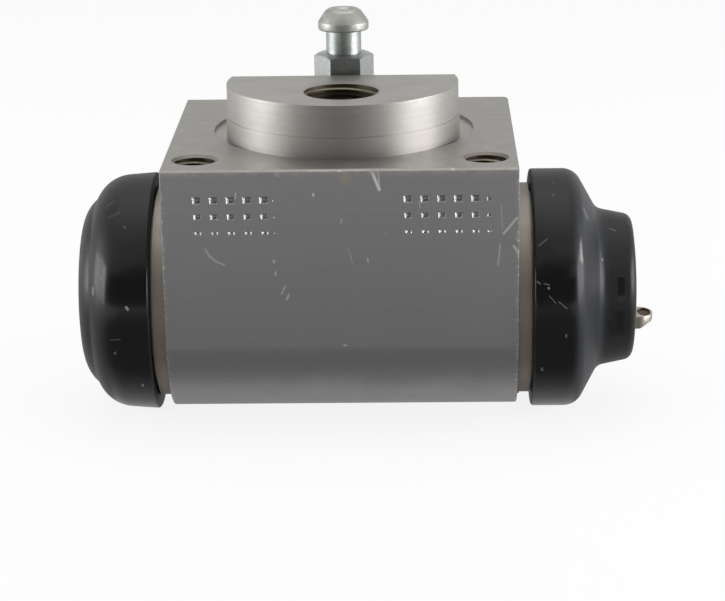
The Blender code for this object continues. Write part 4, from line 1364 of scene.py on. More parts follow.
inlet_centre = Vector((0, BORE.y, 0))
inlet_end = BORE.z + BORE_RADIUS - PAST
inlet = port(PILOT_HEIGHT, INLET_RADIUS, INLET_DISH, INLET_DISH_DEPTH, INLET_DEPTH, INLET_DRILL_RADIUS)
inlet += [(inlet_end, INLET_DRILL_RADIUS), (inlet_end, 0)]
inlet_tool = drilled("inlet", inlet, inlet_centre, PILOT_HEIGHT - INLET_DISH_DEPTH, turned_boss)
shape_with(housing, "DIFFERENCE", inlet_tool)

bleeder = port(-RECESS_DEPTH, BLEEDER_THREAD_RADIUS, BLEEDER_SINK, BLEEDER_SINK, BLEEDER_PORT_DEPTH)
shape_with(housing, "DIFFERENCE", lathe("bleeder", bleeder, oiled_thread, ALONG_Z, SCREW_AXIS, PORT_STEPS))
print("bore and two ports cut:", len(housing.data.polygons), "faces")

# %% The slanted bleeder drilling
DRILL_FROM = 0.2
DRILL_TO = 1.05

drill_mouth = SCREW_AXIS + ALONG_Y * (BLEEDER_THREAD_RADIUS - BLEEDER_DRILL_RADIUS)
drill_target = Vector((0, BORE.y + BORE_RADIUS, BORE.z))
bpy.ops.object.select_all(action="DESELECT")
drill_start = drill_mouth.lerp(drill_target, DRILL_FROM)
drill_stop = drill_mouth.lerp(drill_target, DRILL_TO)
bpy.ops.mesh.primitive_cylinder_add(
    vertices=SMALL_STEPS,
    radius=BLEEDER_DRILL_RADIUS,
    depth=(drill_stop - drill_start).length,
    location=(drill_start + drill_stop) / 2,
    rotation=(drill_start - drill_stop).to_track_quat("Z", "X").to_euler(),
)
drill = bpy.context.object
drill.name = "bleeder_drilling"
bpy.ops.object.transform_apply(location=True, rotation=True, scale=True)
drill.data.materials.append(oiled_thread)
shape_with(housing, "DIFFERENCE", drill)
print("bleeder drilling cut")

# %% [markdown]
# ## Housing: jaw marks
#
# The front carries two fields of small pits, the print of a machine's serrated jaw. Each tooth left a wedge
# with sloping sides, deepest at its upper edge, and the jaw bit less from row to row. One four-sided cone
# stands for a tooth. It is modelled once and copied for each pit, the copies are joined, and one Boolean
# presses them in. Bump alone would do from far away, but these pits are deep enough to show lit walls. The
# walls that face the right lamp also wear a lighter copy of the pit's finish: a painted highlight.

# %% One tooth of the serrated jaw
PIT_ROWS = (
    (-4.60 * MM, 1.39 * MM, 1.20 * MM),
    (-7.02 * MM, 1.21 * MM, 0.95 * MM),
    (-9.39 * MM, 1.07 * MM, 0.53 * MM),
)
PIT_SPACING = 2.42
PIT_COLUMNS = 5
PIT_FIELDS = {-20.62: (1.5, 0.3), 9.77: (2.01, 0.55)}
PIT_DRIFT = 0.04 * MM
PIT_DEPTH = 0.42
PIT_TILT = math.radians(6)
PIT_SPREAD = 1.42
PIT_LEAN = (0.07, -0.12)
PIT_TIP = 0.2
LIT_SIDE = -0.3
HALF_DIAGONAL = math.sqrt(0.5)


bpy.ops.object.select_all(action="DESELECT")
bpy.ops.mesh.primitive_cone_add(
    vertices=4,
    radius1=HALF_DIAGONAL,
    radius2=PIT_TIP * HALF_DIAGONAL,
    depth=1,
    rotation=(0, 0, math.radians(45)),
)
tooth = bpy.context.object
tooth.name = "tooth"
bpy.ops.object.transform_apply(location=False, rotation=True, scale=False)
bpy.ops.object.mode_set(mode="EDIT")
bpy.ops.mesh.select_mode(type="VERT")
bpy.ops.mesh.select_all(action="DESELECT")
bpy.ops.object.mode_set(mode="OBJECT")
for vertex in tooth.data.vertices:
    vertex.select = vertex.co.z > 0
bpy.ops.object.mode_set(mode="EDIT")
bpy.ops.transform.translate(value=(*PIT_LEAN, 0))
bpy.ops.object.mode_set(mode="OBJECT")
for finish in (struck_pit, painted_highlight_pit):
    tooth.data.materials.append(finish)
print("tooth of", len(tooth.data.polygons), "faces")


# %% Both fields of pits, pressed into the front
def pit_tool(place, width, height):
    """A copy of the tooth that points into the front face, with half of its length outside.

    Its left side leaves the pit's left wall, which faces the right lamp and wears a lighter copy of the
    pit's finish: a painted highlight.
    """
    copy = tooth.copy()
    copy.data = tooth.data.copy()
    bpy.context.scene.collection.objects.link(copy)
    bpy.ops.object.select_all(action="DESELECT")
    bpy.context.view_layer.objects.active = copy
    copy.select_set(True)
    copy.scale = (PIT_SPREAD * width, PIT_SPREAD * height, 2 * PIT_DEPTH * height)
    copy.rotation_euler = (math.radians(-90) - PIT_TILT, 0, 0)
    copy.location = place
    bpy.ops.object.transform_apply(location=True, rotation=True, scale=True)
    for face in copy.data.polygons:
        face.material_index = 1 if face.normal.x < LIT_SIDE else 0
    return copy


teeth = []
for first, (small_step, small_share) in PIT_FIELDS.items():
    columns = [(first + PIT_SPACING * i, 1.0) for i in range(PIT_COLUMNS)]
    columns.append((columns[-1][0] + small_step, small_share))
    for row, (level, width, height) in enumerate(PIT_ROWS):
        for across, share in columns:
            place = Vector((across * MM + row * PIT_DRIFT, FRONT_Y, level))
            teeth.append(pit_tool(place, width * share, height * share))
bpy.data.objects.remove(tooth, do_unlink=True)
bpy.ops.object.select_all(action="DESELECT")
for copy in teeth:
    copy.select_set(True)
bpy.context.view_layer.objects.active = teeth[0]
bpy.ops.object.join()
jaw = bpy.context.object
print(len(teeth), "pits")
shape_with(housing, "DIFFERENCE", jaw)
finish_piece(housing, "housing", "machined_aluminium", "housing")

# %% [markdown]
# ## Threads
#
# A thread is one ridge that climbs round its hole. The Screw modifier makes it from a small blunt triangle:
# each turn lifts it by one pitch. The ridge's back lies just inside the wall, so no gap shows. Cutting the
# groove with a Boolean would be truer, but slow, and it would leave far more faces.

# %% The thread ridge
THREAD_PITCH = 1.0 * MM
THREAD_SINK = 0.05 * MM
THREAD_FLAT = 0.08 * MM
THREAD_FOOT = 0.42
THREAD_STEPS = 64


def thread_ridge(name, centre, radius, height, low, high, finish, pitch=THREAD_PITCH):
    """A helical ridge on a round wall, up to the level high. With a height above zero it stands inwards."""
    half = THREAD_FOOT * pitch
    back = radius + math.copysign(THREAD_SINK, height)
    crest = radius - height
    turns = math.floor((high - low - 2 * half) / pitch)
    start = high - half - turns * pitch
    corners = [(back, -half), (crest, -THREAD_FLAT), (crest, THREAD_FLAT), (back, half)]
    points = [Vector((across, 0, start + level)) for across, level in corners]
    piece = draw_chain(name, points + points[:1])
    bpy.ops.mesh.select_all(action="SELECT")
    bpy.ops.mesh.remove_doubles(threshold=MERGE_DISTANCE)
    bpy.ops.object.mode_set(mode="OBJECT")
    bpy.ops.object.transform_apply(location=True, rotation=True, scale=True)
    screw = piece.modifiers.new("screw", "SCREW")
    screw.screw_offset = pitch
    screw.iterations = turns
    screw.steps = THREAD_STEPS
    screw.render_steps = THREAD_STEPS
    bpy.ops.object.modifier_apply(modifier=screw.name)
    bpy.ops.object.mode_set(mode="EDIT")
    bpy.ops.mesh.select_mode(type="EDGE")
    bpy.ops.mesh.select_all(action="DESELECT")
    bpy.ops.mesh.select_non_manifold()
    bpy.ops.mesh.edge_face_add()
    bpy.ops.mesh.select_mode(type="VERT")
    bpy.ops.mesh.select_all(action="SELECT")
    face_outwards()
    bpy.ops.transform.translate(value=centre)
    bpy.ops.object.mode_set(mode="OBJECT")
    piece.data.materials.append(finish)
    return piece


# %% Threads in the inlet and the fixing holes
FINE_PITCH = 0.7 * MM
FINE_HEIGHT = 0.34 * MM

inlet_low = PILOT_HEIGHT - INLET_DEPTH
inlet_high = PILOT_HEIGHT - INLET_DISH_DEPTH
inlet_thread = thread_ridge(
    "inlet_thread",
    inlet_centre,
    INLET_RADIUS,
    FINE_HEIGHT,
    inlet_low,
    inlet_high,
    thread_crest,
    FINE_PITCH,
)
finish_piece(inlet_thread, "housing", "machined_aluminium")
for side, centre in fixing_centres.items():
    ridge = thread_ridge(
        "fixing_thread_" + side,
        centre,
        FIXING_RADIUS,
        FINE_HEIGHT,
        -FIXING_DEPTH,
        -FIXING_SINK,
        thread_crest,
        FINE_PITCH,
    )
    finish_piece(ridge, "housing", "machined_aluminium")

# %% [markdown]
# ## Bleeder screw
#
# The bleeder screw is turned from hexagon bar. Its nipple has a shoulder that holds a rubber hose, a narrow
# neck, the hexagon, and a thinner threaded shank. The stem is turned first, the hexagon is joined to it, and
# a turned tool trims the hexagon's corners, which leaves the curved chamfer that every nut has.

# %% Sizes of the bleeder screw
NIPPLE_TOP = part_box("bleeder_screw")[1].z
NIPPLE_BASE = 14.1 * MM
NIPPLE_RADIUS = 3.88 * MM
NIPPLE_BAND = 1.2 * MM
NIPPLE_RIM_RADIUS = 2.3 * MM
NIPPLE_SHOULDER_RADIUS = 2.8 * MM
NIPPLE_SHOULDER_DROP = 0.35 * MM
NIPPLE_ROUND = 0.25 * MM
DIMPLE_RADIUS = 1.55 * MM
DIMPLE_DEPTH = 1.1 * MM
SCREW_NECK_RADIUS = 2.7 * MM
SCREW_BORE_RADIUS = 0.98 * MM
SCREW_TIP_RADIUS = 1.2 * MM
SCREW_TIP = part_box("bleeder_screw")[0].z
SHANK_ROOT = 2.95 * MM
HEX_FLATS = 8.0 * MM
HEX_TOP = 10.55 * MM
HEX_HEIGHT = 5.6 * MM
HEX_BEVEL = 0.5 * MM
HEX_FACE_RADIUS = 3.2 * MM
HEX_EDGE_BREAK = 0.12 * MM
HEX_LOW = HEX_TOP - HEX_HEIGHT
HEX_CORNER = HEX_FLATS / 2 / math.cos(math.pi / 6)
SHANK_ROUND = 0.2 * MM
SHANK_FLARE = 0.4 * MM
NECK_ROUND = 0.15 * MM
SHOULDER_ROUND = 0.3 * MM
DIMPLE_ROUND = 0.1 * MM
print("screw from", round(SCREW_TIP / MM, 2), "to", round(NIPPLE_TOP / MM, 2), "mm")

# %% Stem
inside_hexagon = HEX_TOP - HEX_HEIGHT / 2
stem = [
    (SCREW_TIP, 0),
    (SCREW_TIP, SCREW_TIP_RADIUS, SHANK_ROUND),
    (SCREW_TIP + (SHANK_ROOT - SCREW_TIP_RADIUS) / DRILL_POINT, SHANK_ROOT, SHANK_ROUND),
    (HEX_LOW, SHANK_ROOT, SHANK_ROUND),
    (HEX_LOW + SHANK_FLARE, SHANK_ROOT + SHANK_FLARE),
    (inside_hexagon, SHANK_ROOT + SHANK_FLARE),
    (inside_hexagon, SCREW_NECK_RADIUS),
    (NIPPLE_BASE, SCREW_NECK_RADIUS, NECK_ROUND),
    (NIPPLE_BASE, NIPPLE_RADIUS, NIPPLE_ROUND),
    (NIPPLE_BASE + NIPPLE_BAND, NIPPLE_RADIUS, NIPPLE_ROUND),
    (NIPPLE_TOP - NIPPLE_SHOULDER_DROP, NIPPLE_SHOULDER_RADIUS, SHOULDER_ROUND),
    (NIPPLE_TOP, NIPPLE_RIM_RADIUS, NECK_ROUND),
    (NIPPLE_TOP, DIMPLE_RADIUS, DIMPLE_ROUND),
    (NIPPLE_TOP - DIMPLE_DEPTH, 0),
]
screw = lathe("bleeder_body", rounded(stem), zinc_plate, ALONG_Z, SCREW_AXIS, PORT_STEPS)
print("stem of", len(screw.data.polygons), "faces")

# %% Hexagon
bpy.ops.object.select_all(action="DESELECT")
bpy.ops.mesh.primitive_cylinder_add(
    vertices=6,
    radius=HEX_CORNER,
    depth=HEX_HEIGHT + PAST,
    location=SCREW_AXIS + ALONG_Z * (HEX_LOW + (HEX_HEIGHT + PAST) / 2),
    rotation=(0, 0, math.radians(30)),
)
hexagon = bpy.context.object
hexagon.name = "hexagon"
bpy.ops.object.transform_apply(location=True, rotation=True, scale=True)
hexagon.data.materials.append(zinc_plate)
break_edges(hexagon, HEX_EDGE_BREAK)
slope = HEX_BEVEL / (HEX_CORNER - HEX_FACE_RADIUS)
outside = HEX_CORNER + PAST
trim = [
    (HEX_LOW - PAST, 0),
    (HEX_LOW - PAST, outside),
    (HEX_TOP - slope * (outside - HEX_FACE_RADIUS), outside),
    (HEX_TOP, HEX_FACE_RADIUS),
    (HEX_TOP, 0),
]
shape_with(hexagon, "INTERSECT", lathe("trim", trim, zinc_plate, ALONG_Z, SCREW_AXIS, PORT_STEPS))
shape_with(screw, "UNION", hexagon)
print("stem and hexagon:", len(screw.data.polygons), "faces")

# %% Passage and cross hole
CROSS_LEVEL = -8.2 * MM
CROSS_RADIUS = 0.8 * MM

passage = [
    (CROSS_LEVEL, 0),
    (CROSS_LEVEL, SCREW_BORE_RADIUS),
    (NIPPLE_TOP + PAST, SCREW_BORE_RADIUS),
    (NIPPLE_TOP + PAST, 0),
]
shape_with(screw, "DIFFERENCE", lathe("passage", passage, oiled_thread, ALONG_Z, SCREW_AXIS, SMALL_STEPS))
across = BLEEDER_THREAD_RADIUS + PAST
cross = [(-across, 0), (-across, CROSS_RADIUS), (across, CROSS_RADIUS), (across, 0)]
cross_centre = SCREW_AXIS + ALONG_Z * CROSS_LEVEL
cross_tool = lathe("cross_hole", cross, oiled_thread, ALONG_X, cross_centre, SMALL_STEPS)
shape_with(screw, "DIFFERENCE", cross_tool)
print("screw drilled:", len(screw.data.polygons), "faces")

# %% Scuffed nipple, turned to its rest, with its thread
SCREW_REST_TURN = math.radians(4.4)
SCUFFED_FROM = NIPPLE_BASE - 0.1 * MM
SCREW_THREAD_HEIGHT = 0.45 * MM
SCREW_THREAD_LOW = -6.6 * MM
SCREW_THREAD_GAP = 0.6 * MM

screw.data.materials.append(scuffed_plate)
scuffed = len(screw.data.materials) - 1
for face in screw.data.polygons:
    if face.material_index == 0 and face.center.z > SCUFFED_FROM:
        face.material_index = scuffed
screw.rotation_euler = (0, 0, SCREW_REST_TURN)
screw.location = SCREW_AXIS - Matrix.Rotation(SCREW_REST_TURN, 3, "Z") @ SCREW_AXIS
bpy.ops.object.transform_apply(location=True, rotation=True, scale=True)
finish_piece(screw, "bleeder", "zinc_steel", "bleeder_screw")
screw_thread = thread_ridge(
    "bleeder_thread",
    SCREW_AXIS,
    SHANK_ROOT,
    -SCREW_THREAD_HEIGHT,
    SCREW_THREAD_LOW,
    HEX_LOW - SCREW_THREAD_GAP,
    zinc_plate,
)
finish_piece(screw_thread, "bleeder", "zinc_steel")

# %% [markdown]
# ## Pistons
#
# Each piston has a skirt that fills the bore and a narrower nose. The nose carries a groove for the boot's
# bead and a slot for the shoe's web, whose lower lip is the longer one. A plain block cuts the slot, and a
# plate with a rounded plan leaves the lip as a tongue. The lip has a shallow oval dish in a dark red-brown
# finish.

# %% Piston sizes
PISTON_RADIUS = 10.95 * MM
SKIRT_LENGTH = 16.0 * MM
SKIRT_CHAMFER = 0.6 * MM
NOSE_RADIUS = 6.5 * MM
NOSE_FILLET = 1.2 * MM
NOSE_LENGTH = 6.8 * MM
NOSE_GROOVE_START = 3.0 * MM
NOSE_GROOVE_WIDTH = 2.0 * MM
NOSE_GROOVE_DEPTH = 0.9 * MM
SLOT_WIDTH = 8.2 * MM
SLOT_DEPTH = 1.1 * MM
LIP_REACH = 3.2 * MM
LIP_WIDTH = 5.3 * MM
LIP_END = 2.1 * MM
LIP_TAPER_LENGTH = 2.0 * MM
LIP_TAPER_DROP = 1.4 * MM
LIP_TIP_ROUND = 0.8 * MM
DISH_SETBACK = 1.3 * MM
DISH_LENGTH = 2.0 * MM
DISH_WIDTH = 4.1 * MM
DISH_DEPTH = 0.25 * MM
GROOVE_ROUND = 0.15 * MM
LIP_TAPER_ROUND = 0.6 * MM
PISTON_EDGE = 0.12 * MM
PISTON_TIP = SKIRT_LENGTH + NOSE_LENGTH + LIP_REACH
print("piston length:", round(PISTON_TIP / MM, 1), "mm")

# %% Where each piston lies
inner_face = {"left": -1, "right": 1}
for side, way in inner_face.items():
    low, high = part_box("piston_" + side)
    inner_face[side] = high.x if way < 0 else low.x


def along_bore(side, place):
    """The X of a place measured outwards from a piston's inner face."""
    way = -1 if side == "left" else 1
    return inner_face[side] + way * place


def outwards(side, outline):
    """An outline measured from a piston's inner face, put where that piston lies."""
    return [(along_bore(side, place), radius) for place, radius in outline]


def side_block(name, side, low, high, finish):
    """A cutter measured along X from a piston's inner face and in Y and Z from the bore's axis."""
    ends = sorted((along_bore(side, low[0]), along_bore(side, high[0])))
    first = (ends[0], BORE.y + low[1], BORE.z + low[2])
    last = (ends[1], BORE.y + high[1], BORE.z + high[2])
    return block(name, first, last, finish)


print("inner faces at", [round(place / MM, 2) for place in inner_face.values()], "mm")

# %% The lip's tools
def lip_surround(side, nose_end, past, wide):
    """What is cut away round the lower lip: in plan it leaves a tongue whose end is half an ellipse."""
    half_turn = arc((0, 0), 1, math.pi / 2, -math.pi / 2, ARC_TOLERANCE / LIP_WIDTH)
    shoulder = PISTON_TIP - LIP_END
    half = LIP_WIDTH / 2
    plan = [(nose_end, -wide), (past, -wide), (past, wide), (nose_end, wide), (nose_end, half)]
    plan += [(shoulder + LIP_END * along, half * across) for along, across in half_turn]
    plan += [(nose_end, -half)]
    return [(along_bore(side, along), BORE.y + across) for along, across in plan]


def lip_dish(side):
    """The shallow oval dish in the lip's upper face."""
    turn = arc((0, 0), 1, 0, TURN, ARC_TOLERANCE / DISH_WIDTH)[:-1]
    middle = PISTON_TIP - DISH_SETBACK
    plan = [
        (along_bore(side, middle + DISH_LENGTH / 2 * along), BORE.y + DISH_WIDTH / 2 * across)
        for along, across in turn
    ]
    lip_top = BORE.z - SLOT_WIDTH / 2
    return plate("lip_dish", plan, lip_top - DISH_DEPTH, lip_top + PAST, dark_red_brown_dish)


# %% Both pistons
def make_piston(side):
    """One piston: turned, slotted, given its lip, and broken along its edges."""
    groove = SKIRT_LENGTH + NOSE_GROOVE_START
    groove_end = groove + NOSE_GROOVE_WIDTH
    floor_radius = NOSE_RADIUS - NOSE_GROOVE_DEPTH
    outline = rounded([
        (0, 0),
        (0, PISTON_RADIUS - SKIRT_CHAMFER),
        (SKIRT_CHAMFER, PISTON_RADIUS),
        (SKIRT_LENGTH - SKIRT_CHAMFER, PISTON_RADIUS),
        (SKIRT_LENGTH, PISTON_RADIUS - SKIRT_CHAMFER),
        (SKIRT_LENGTH, NOSE_RADIUS, NOSE_FILLET),
        (groove, NOSE_RADIUS, GROOVE_ROUND),
        (groove, floor_radius, GROOVE_ROUND),
        (groove_end, floor_radius, GROOVE_ROUND),
        (groove_end, NOSE_RADIUS, GROOVE_ROUND),
        (PISTON_TIP - LIP_TAPER_LENGTH, NOSE_RADIUS, LIP_TAPER_ROUND),
        (PISTON_TIP, NOSE_RADIUS - LIP_TAPER_DROP, LIP_TIP_ROUND),
        (PISTON_TIP, 0),
    ])
    piston = lathe("piston_body_" + side, outwards(side, outline), anodised, steps=BORE_STEPS)
    past = PISTON_TIP + PAST
    wide = NOSE_RADIUS + PAST
    nose_end = SKIRT_LENGTH + NOSE_LENGTH
    slot_floor = nose_end - SLOT_DEPTH
    half_slot = SLOT_WIDTH / 2
    cuts = (
        ((slot_floor, -wide, -half_slot), (past, wide, half_slot)),
        ((nose_end, -wide, 0), (past, wide, wide)),
    )
    for low, high in cuts:
        shape_with(piston, "DIFFERENCE", side_block("cut", side, low, high, anodised))
    plan = lip_surround(side, nose_end, past, wide)
    shape_with(piston, "DIFFERENCE", plate("lip_surround", plan, BORE.z - wide, BORE.z, anodised))
    shape_with(piston, "DIFFERENCE", lip_dish(side))
    # The broken edges wear the lighter finish, a painted highlight along each edge.
    piston.data.materials.append(painted_edge_highlight)
    break_edges(piston, PISTON_EDGE, len(piston.data.materials) - 1)
    finish_piece(piston, "piston_" + side, "piston_alloy", "piston_" + side)


for side in ("left", "right"):
    make_piston(side)

# %% [markdown]
# ## Cup seals and expanders
#
# Behind each piston lies a rubber cup whose lip opens towards the fluid. A pressed steel cup spreads the
# lip and centres the spring. They are hidden in the bore, but they are turned as finely as the rest.

# %% Outlines of a seal and an expander
SEAL_LENGTH = 6.0 * MM
SEAL_BASE = 2.2 * MM
SEAL_HEEL_DROP = 0.45 * MM
SEAL_HEEL_ROUND = 0.5 * MM
SEAL_LIP_WALL = 0.7 * MM
SEAL_ROOT_WALL = 2.0 * MM
EXPANDER_SHEET = 0.7 * MM
EXPANDER_REACH = 2.4 * MM
EXPANDER_FLARE = 0.7 * MM
EXPANDER_ROUND = 0.6 * MM
SPIGOT_RADIUS = 4.4 * MM
SPIGOT_LENGTH = 3.4 * MM
SHEET_RIM_ROUND = 0.2 * MM
SHEET_BEND_ROUND = 0.3 * MM

seal_floor = -SEAT_GAP - SEAL_BASE
seal_outline = rounded([
    (-SEAT_GAP, 0),
    (-SEAT_GAP, PISTON_RADIUS - SEAL_HEEL_DROP, SEAL_HEEL_ROUND),
    (-SEAT_GAP - SEAL_LENGTH, PISTON_RADIUS),
    (-SEAT_GAP - SEAL_LENGTH, PISTON_RADIUS - SEAL_LIP_WALL),
    (seal_floor, PISTON_RADIUS - SEAL_ROOT_WALL, SEAL_HEEL_ROUND),
    (seal_floor, 0),
])
expander_face = seal_floor - SEAT_GAP
expander_edge = PISTON_RADIUS - SEAL_ROOT_WALL - 2 * SEAT_GAP
rim = expander_face - EXPANDER_REACH
spigot_end = expander_face - SPIGOT_LENGTH
spigot_inside = SPIGOT_RADIUS - 2 * EXPANDER_SHEET
sheet_back = expander_face - EXPANDER_SHEET
expander_outline = rounded([
    (expander_face, 0),
    (expander_face, expander_edge, EXPANDER_ROUND),
    (rim, expander_edge + EXPANDER_FLARE, SHEET_RIM_ROUND),
    (rim, expander_edge + EXPANDER_FLARE - EXPANDER_SHEET, SHEET_RIM_ROUND),
    (sheet_back, expander_edge - EXPANDER_SHEET, SHEET_BEND_ROUND),
    (sheet_back, SPIGOT_RADIUS, SHEET_BEND_ROUND),
    (spigot_end, SPIGOT_RADIUS, EXPANDER_ROUND),
    (spigot_end, spigot_inside),
    (sheet_back, spigot_inside),
    (sheet_back, 0),
])
print("outlines of", len(seal_outline), "and", len(expander_outline), "points")

# %% Both seals and both expanders
for side in ("left", "right"):
    seal = lathe("seal_" + side, outwards(side, seal_outline), seal_rubber)
    finish_piece(seal, "piston_" + side, "seal_rubber", "cup_seal_" + side)
    expander = lathe("expander_" + side, outwards(side, expander_outline), pressed_sheet)
    finish_piece(expander, "piston_" + side, "pressed_steel", "cup_expander_" + side)

# %% [markdown]
# ## Spring
#
# The spring pushes both cups outwards. Its wire follows a helix that closes up at each end, where the pitch
# falls to little more than the wire. It is a curve with a round bevel, made a mesh at the end. It comes in
# two halves that meet in the middle.

# %% The spring's helix
SPRING_WIRE = 1.0 * MM
SPRING_RADIUS = 5.5 * MM
SPRING_CLOSED_TURNS = 1.25
SPRING_OPEN_TURNS = 4.5
SPRING_COIL_GAP = 0.15 * MM
SPRING_STEPS = 40

spring_seat = SPRING_WIRE / 2 + SEAT_GAP
spring_start = along_bore("left", sheet_back) + spring_seat
spring_end = along_bore("right", sheet_back) - spring_seat
closed_pitch = SPRING_WIRE + SPRING_COIL_GAP
spring_turns = 2 * SPRING_CLOSED_TURNS + SPRING_OPEN_TURNS
closed_length = 2 * SPRING_CLOSED_TURNS * closed_pitch
open_pitch = (spring_end - spring_start - closed_length) / SPRING_OPEN_TURNS
print("open pitch:", round(open_pitch / MM, 2), "mm")


def spring_point(turn):
    """Where the wire's middle lies after so many turns from the left end."""
    opened = min(max(turn - SPRING_CLOSED_TURNS, 0), SPRING_OPEN_TURNS)
    place = spring_start + (turn - opened) * closed_pitch + opened * open_pitch
    angle = turn * TURN
    return BORE + Vector((place, SPRING_RADIUS * math.cos(angle), SPRING_RADIUS * math.sin(angle)))


# %% Both halves of the spring
WIRE_RESOLUTION = 4


def spring_half(name, first_turn, last_turn):
    """The wire between two turns, as a mesh with closed ends."""
    steps = math.ceil((last_turn - first_turn) * SPRING_STEPS)
    curve = bpy.data.curves.new(name, "CURVE")
    curve.dimensions = "3D"
    curve.bevel_depth = SPRING_WIRE / 2
    curve.bevel_resolution = WIRE_RESOLUTION
    curve.use_fill_caps = True
    wire = curve.splines.new("POLY")
    wire.points.add(steps)
    for i, point in enumerate(wire.points):
        point.co = (*spring_point(first_turn + (last_turn - first_turn) * i / steps), 1)
    bpy.ops.object.select_all(action="DESELECT")
    half = bpy.data.objects.new(name, curve)
    bpy.context.scene.collection.objects.link(half)
    bpy.context.view_layer.objects.active = half
    half.select_set(True)
    bpy.ops.object.convert(target="MESH")
    half = bpy.context.object
    half.data.materials.append(spring_wire)
    smooth(half)
    return half


for side, first, last in (("left", 0, spring_turns / 2), ("right", spring_turns / 2, spring_turns)):
    half = spring_half("spring_half_" + side, first, last)
    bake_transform(half)
    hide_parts("spring")
    print(half.name, len(half.data.polygons), "faces")

# %% [markdown]
# ## Dust boots
#
# Both boots are the same moulding. The right one is drawn out by its piston into a shoulder, a steep slope
# and a nose tube. The left one is pushed in, so it bulges round its folded nose. Inside, each folds back to
# a bead that sits in the piston's groove. A boot is two closed pieces that meet inside the nose: the outer
# wall runs from the neck to the piston, and the fold rides with the piston.

# %% Sizes of a boot
BOOT_SLEEVE = 1.8 * MM
BOOT_WALL = 1.4 * MM
BOOT_RIM_ROUND = 0.35 * MM
BOOT_LIP_ROUND = 0.2 * MM
BEAD_WIDTH = 1.4 * MM
FOLD_CLEARANCE = 0.7 * MM
FOLD_ROUND = 0.6 * MM
BOOT_RADIUS = NECK_RADIUS + SEAT_GAP + BOOT_SLEEVE
BOOT_INSIDE = BOOT_RADIUS - BOOT_SLEEVE
FOLD_RADIUS = NOSE_RADIUS + FOLD_CLEARANCE
BEAD_HOLD = NOSE_RADIUS - NOSE_GROOVE_DEPTH + SEAT_GAP
BOOT_STEPS = 192
bead_starts = {}
for side in ("left", "right"):
    groove_middle = SKIRT_LENGTH + NOSE_GROOVE_START + NOSE_GROOVE_WIDTH / 2
    bead_starts[side] = abs(along_bore(side, groove_middle)) - BEAD_WIDTH / 2
print("beads start at", [round(place / MM, 2) for place in bead_starts.values()], "mm")

# %% The outer side of each boot
DRAWN_SHOULDER = 1.35 * MM
DRAWN_SHOULDER_ROUND = 2.95 * MM
DRAWN_SLOPE_RUN = 3.3 * MM
DRAWN_ROOT_RADIUS = 11.95 * MM
DRAWN_ROOT_ROUND = 1.9 * MM
DRAWN_END_RADIUS = 10.9 * MM
DRAWN_END_ROUND = 1.45 * MM
DRAWN_REACH = 1.85 * MM
DRAWN_END_BULGE = 0.43 * MM
PRESSED_SHOULDER = 1.95 * MM
PRESSED_SHOULDER_RADIUS = 17.4 * MM
PRESSED_SHOULDER_ROUND = 5.6 * MM
PRESSED_CREASE = 3.75 * MM
PRESSED_CREASE_RADIUS = 14.05 * MM
PRESSED_CREASE_ROUND = 0.6 * MM
PRESSED_NOSE_RADIUS = 12.3 * MM
PRESSED_NOSE_ROUND = 5.7 * MM
PRESSED_REACH = 4.8 * MM


def drawn_corners(bead_end):
    """The outer side with the piston out: a shoulder, a steep slope and a nose tube folded in at its end."""
    shoulder = NECK_END + DRAWN_SHOULDER
    ring = bead_end + DRAWN_REACH
    return [
        (shoulder, BOOT_RADIUS, DRAWN_SHOULDER_ROUND),
        (shoulder + DRAWN_SLOPE_RUN, DRAWN_ROOT_RADIUS, DRAWN_ROOT_ROUND),
        (ring, DRAWN_END_RADIUS, DRAWN_END_ROUND),
        (ring + DRAWN_END_BULGE, FOLD_RADIUS, FOLD_ROUND),
    ]


def pressed_corners(bead_end):
    """The outer side with the piston in: a round shoulder, a crease and a bulging ring round the nose."""
    ring = bead_end + PRESSED_REACH
    return [
        (NECK_END + PRESSED_SHOULDER, PRESSED_SHOULDER_RADIUS, PRESSED_SHOULDER_ROUND),
        (NECK_END + PRESSED_CREASE, PRESSED_CREASE_RADIUS, PRESSED_CREASE_ROUND),
        (ring, PRESSED_NOSE_RADIUS, PRESSED_NOSE_ROUND),
        (ring, FOLD_RADIUS, FOLD_ROUND),
    ]


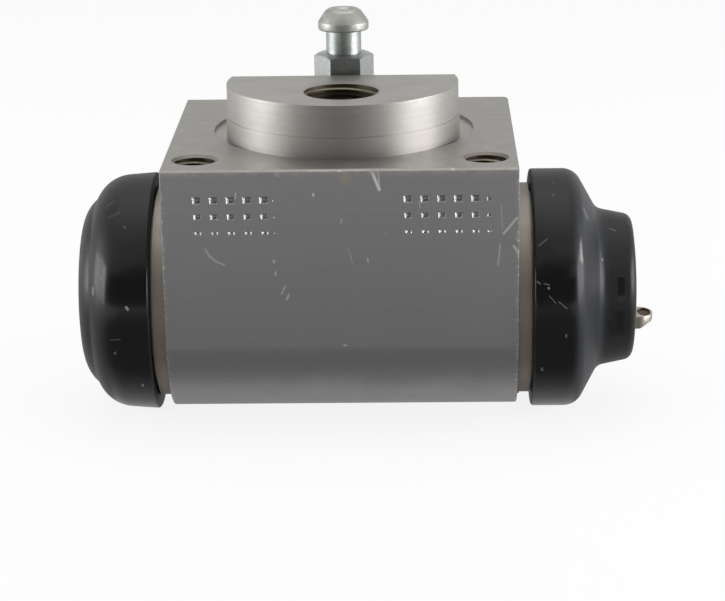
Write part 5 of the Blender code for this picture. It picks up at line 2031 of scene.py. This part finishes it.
# %% A boot's two outlines
def boot_wall_outline(outer, inner, split):
    """The outer wall: from its lip in the neck's groove, round the outside, to the split in the nose."""
    lip = GROOVE_FLOOR + SEAT_GAP
    lip_end = BOOT_START + BOOT_LIP_WIDTH
    return rounded([
        (lip_end, BOOT_INSIDE, BOOT_LIP_ROUND),
        (lip_end, lip, BOOT_RIM_ROUND),
        (BOOT_START, lip, BOOT_RIM_ROUND),
        (BOOT_START, BOOT_RADIUS, BOOT_RIM_ROUND),
        *outer,
        (split, FOLD_RADIUS),
        (split, FOLD_RADIUS + BOOT_WALL),
        *inner,
    ])


def boot_fold_outline(split, bead):
    """The fold from the split back to the bead."""
    return rounded([
        (split, FOLD_RADIUS + BOOT_WALL),
        (split, FOLD_RADIUS),
        (bead + BEAD_WIDTH, FOLD_RADIUS, BOOT_RIM_ROUND),
        (bead + BEAD_WIDTH, BEAD_HOLD, BOOT_RIM_ROUND),
        (bead, BEAD_HOLD, BOOT_RIM_ROUND),
        (bead, FOLD_RADIUS + BOOT_WALL, BOOT_RIM_ROUND),
    ])


# %% Both boots
SPLIT_BEHIND_WALL = 0.2 * MM

for side, way, corners in (("left", -1, pressed_corners), ("right", 1, drawn_corners)):
    outer = corners(bead_starts[side] + BEAD_WIDTH)
    line = [(BOOT_START, BOOT_RADIUS), *outer, (bead_starts[side], FOLD_RADIUS)]
    inner = inside_of(line, BOOT_WALL)
    split = inner[0][0] - SPLIT_BEHIND_WALL
    wall_outline = boot_wall_outline(outer, inner, split)
    fold_outline = boot_fold_outline(split, bead_starts[side])
    wall_points = [(way * place, radius) for place, radius in wall_outline]
    fold_points = [(way * place, radius) for place, radius in fold_outline]
    wall = lathe("boot_wall_" + side, wall_points, boot_rubber, steps=BOOT_STEPS)
    fold = lathe("boot_fold_" + side, fold_points, boot_rubber, steps=BOOT_STEPS)
    smooth(wall)
    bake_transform(wall)
    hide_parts("boot_" + side)
    finish_piece(fold, "piston_" + side, "boot_rubber", "boot_" + side)
    print(wall.name, len(wall.data.polygons), "faces")

# %% [markdown]
# ## Sizes at the end
#
# The box of the imported solids is printed.

# %% The solids' box, and the end of the script
print("solid box:", solid_box)
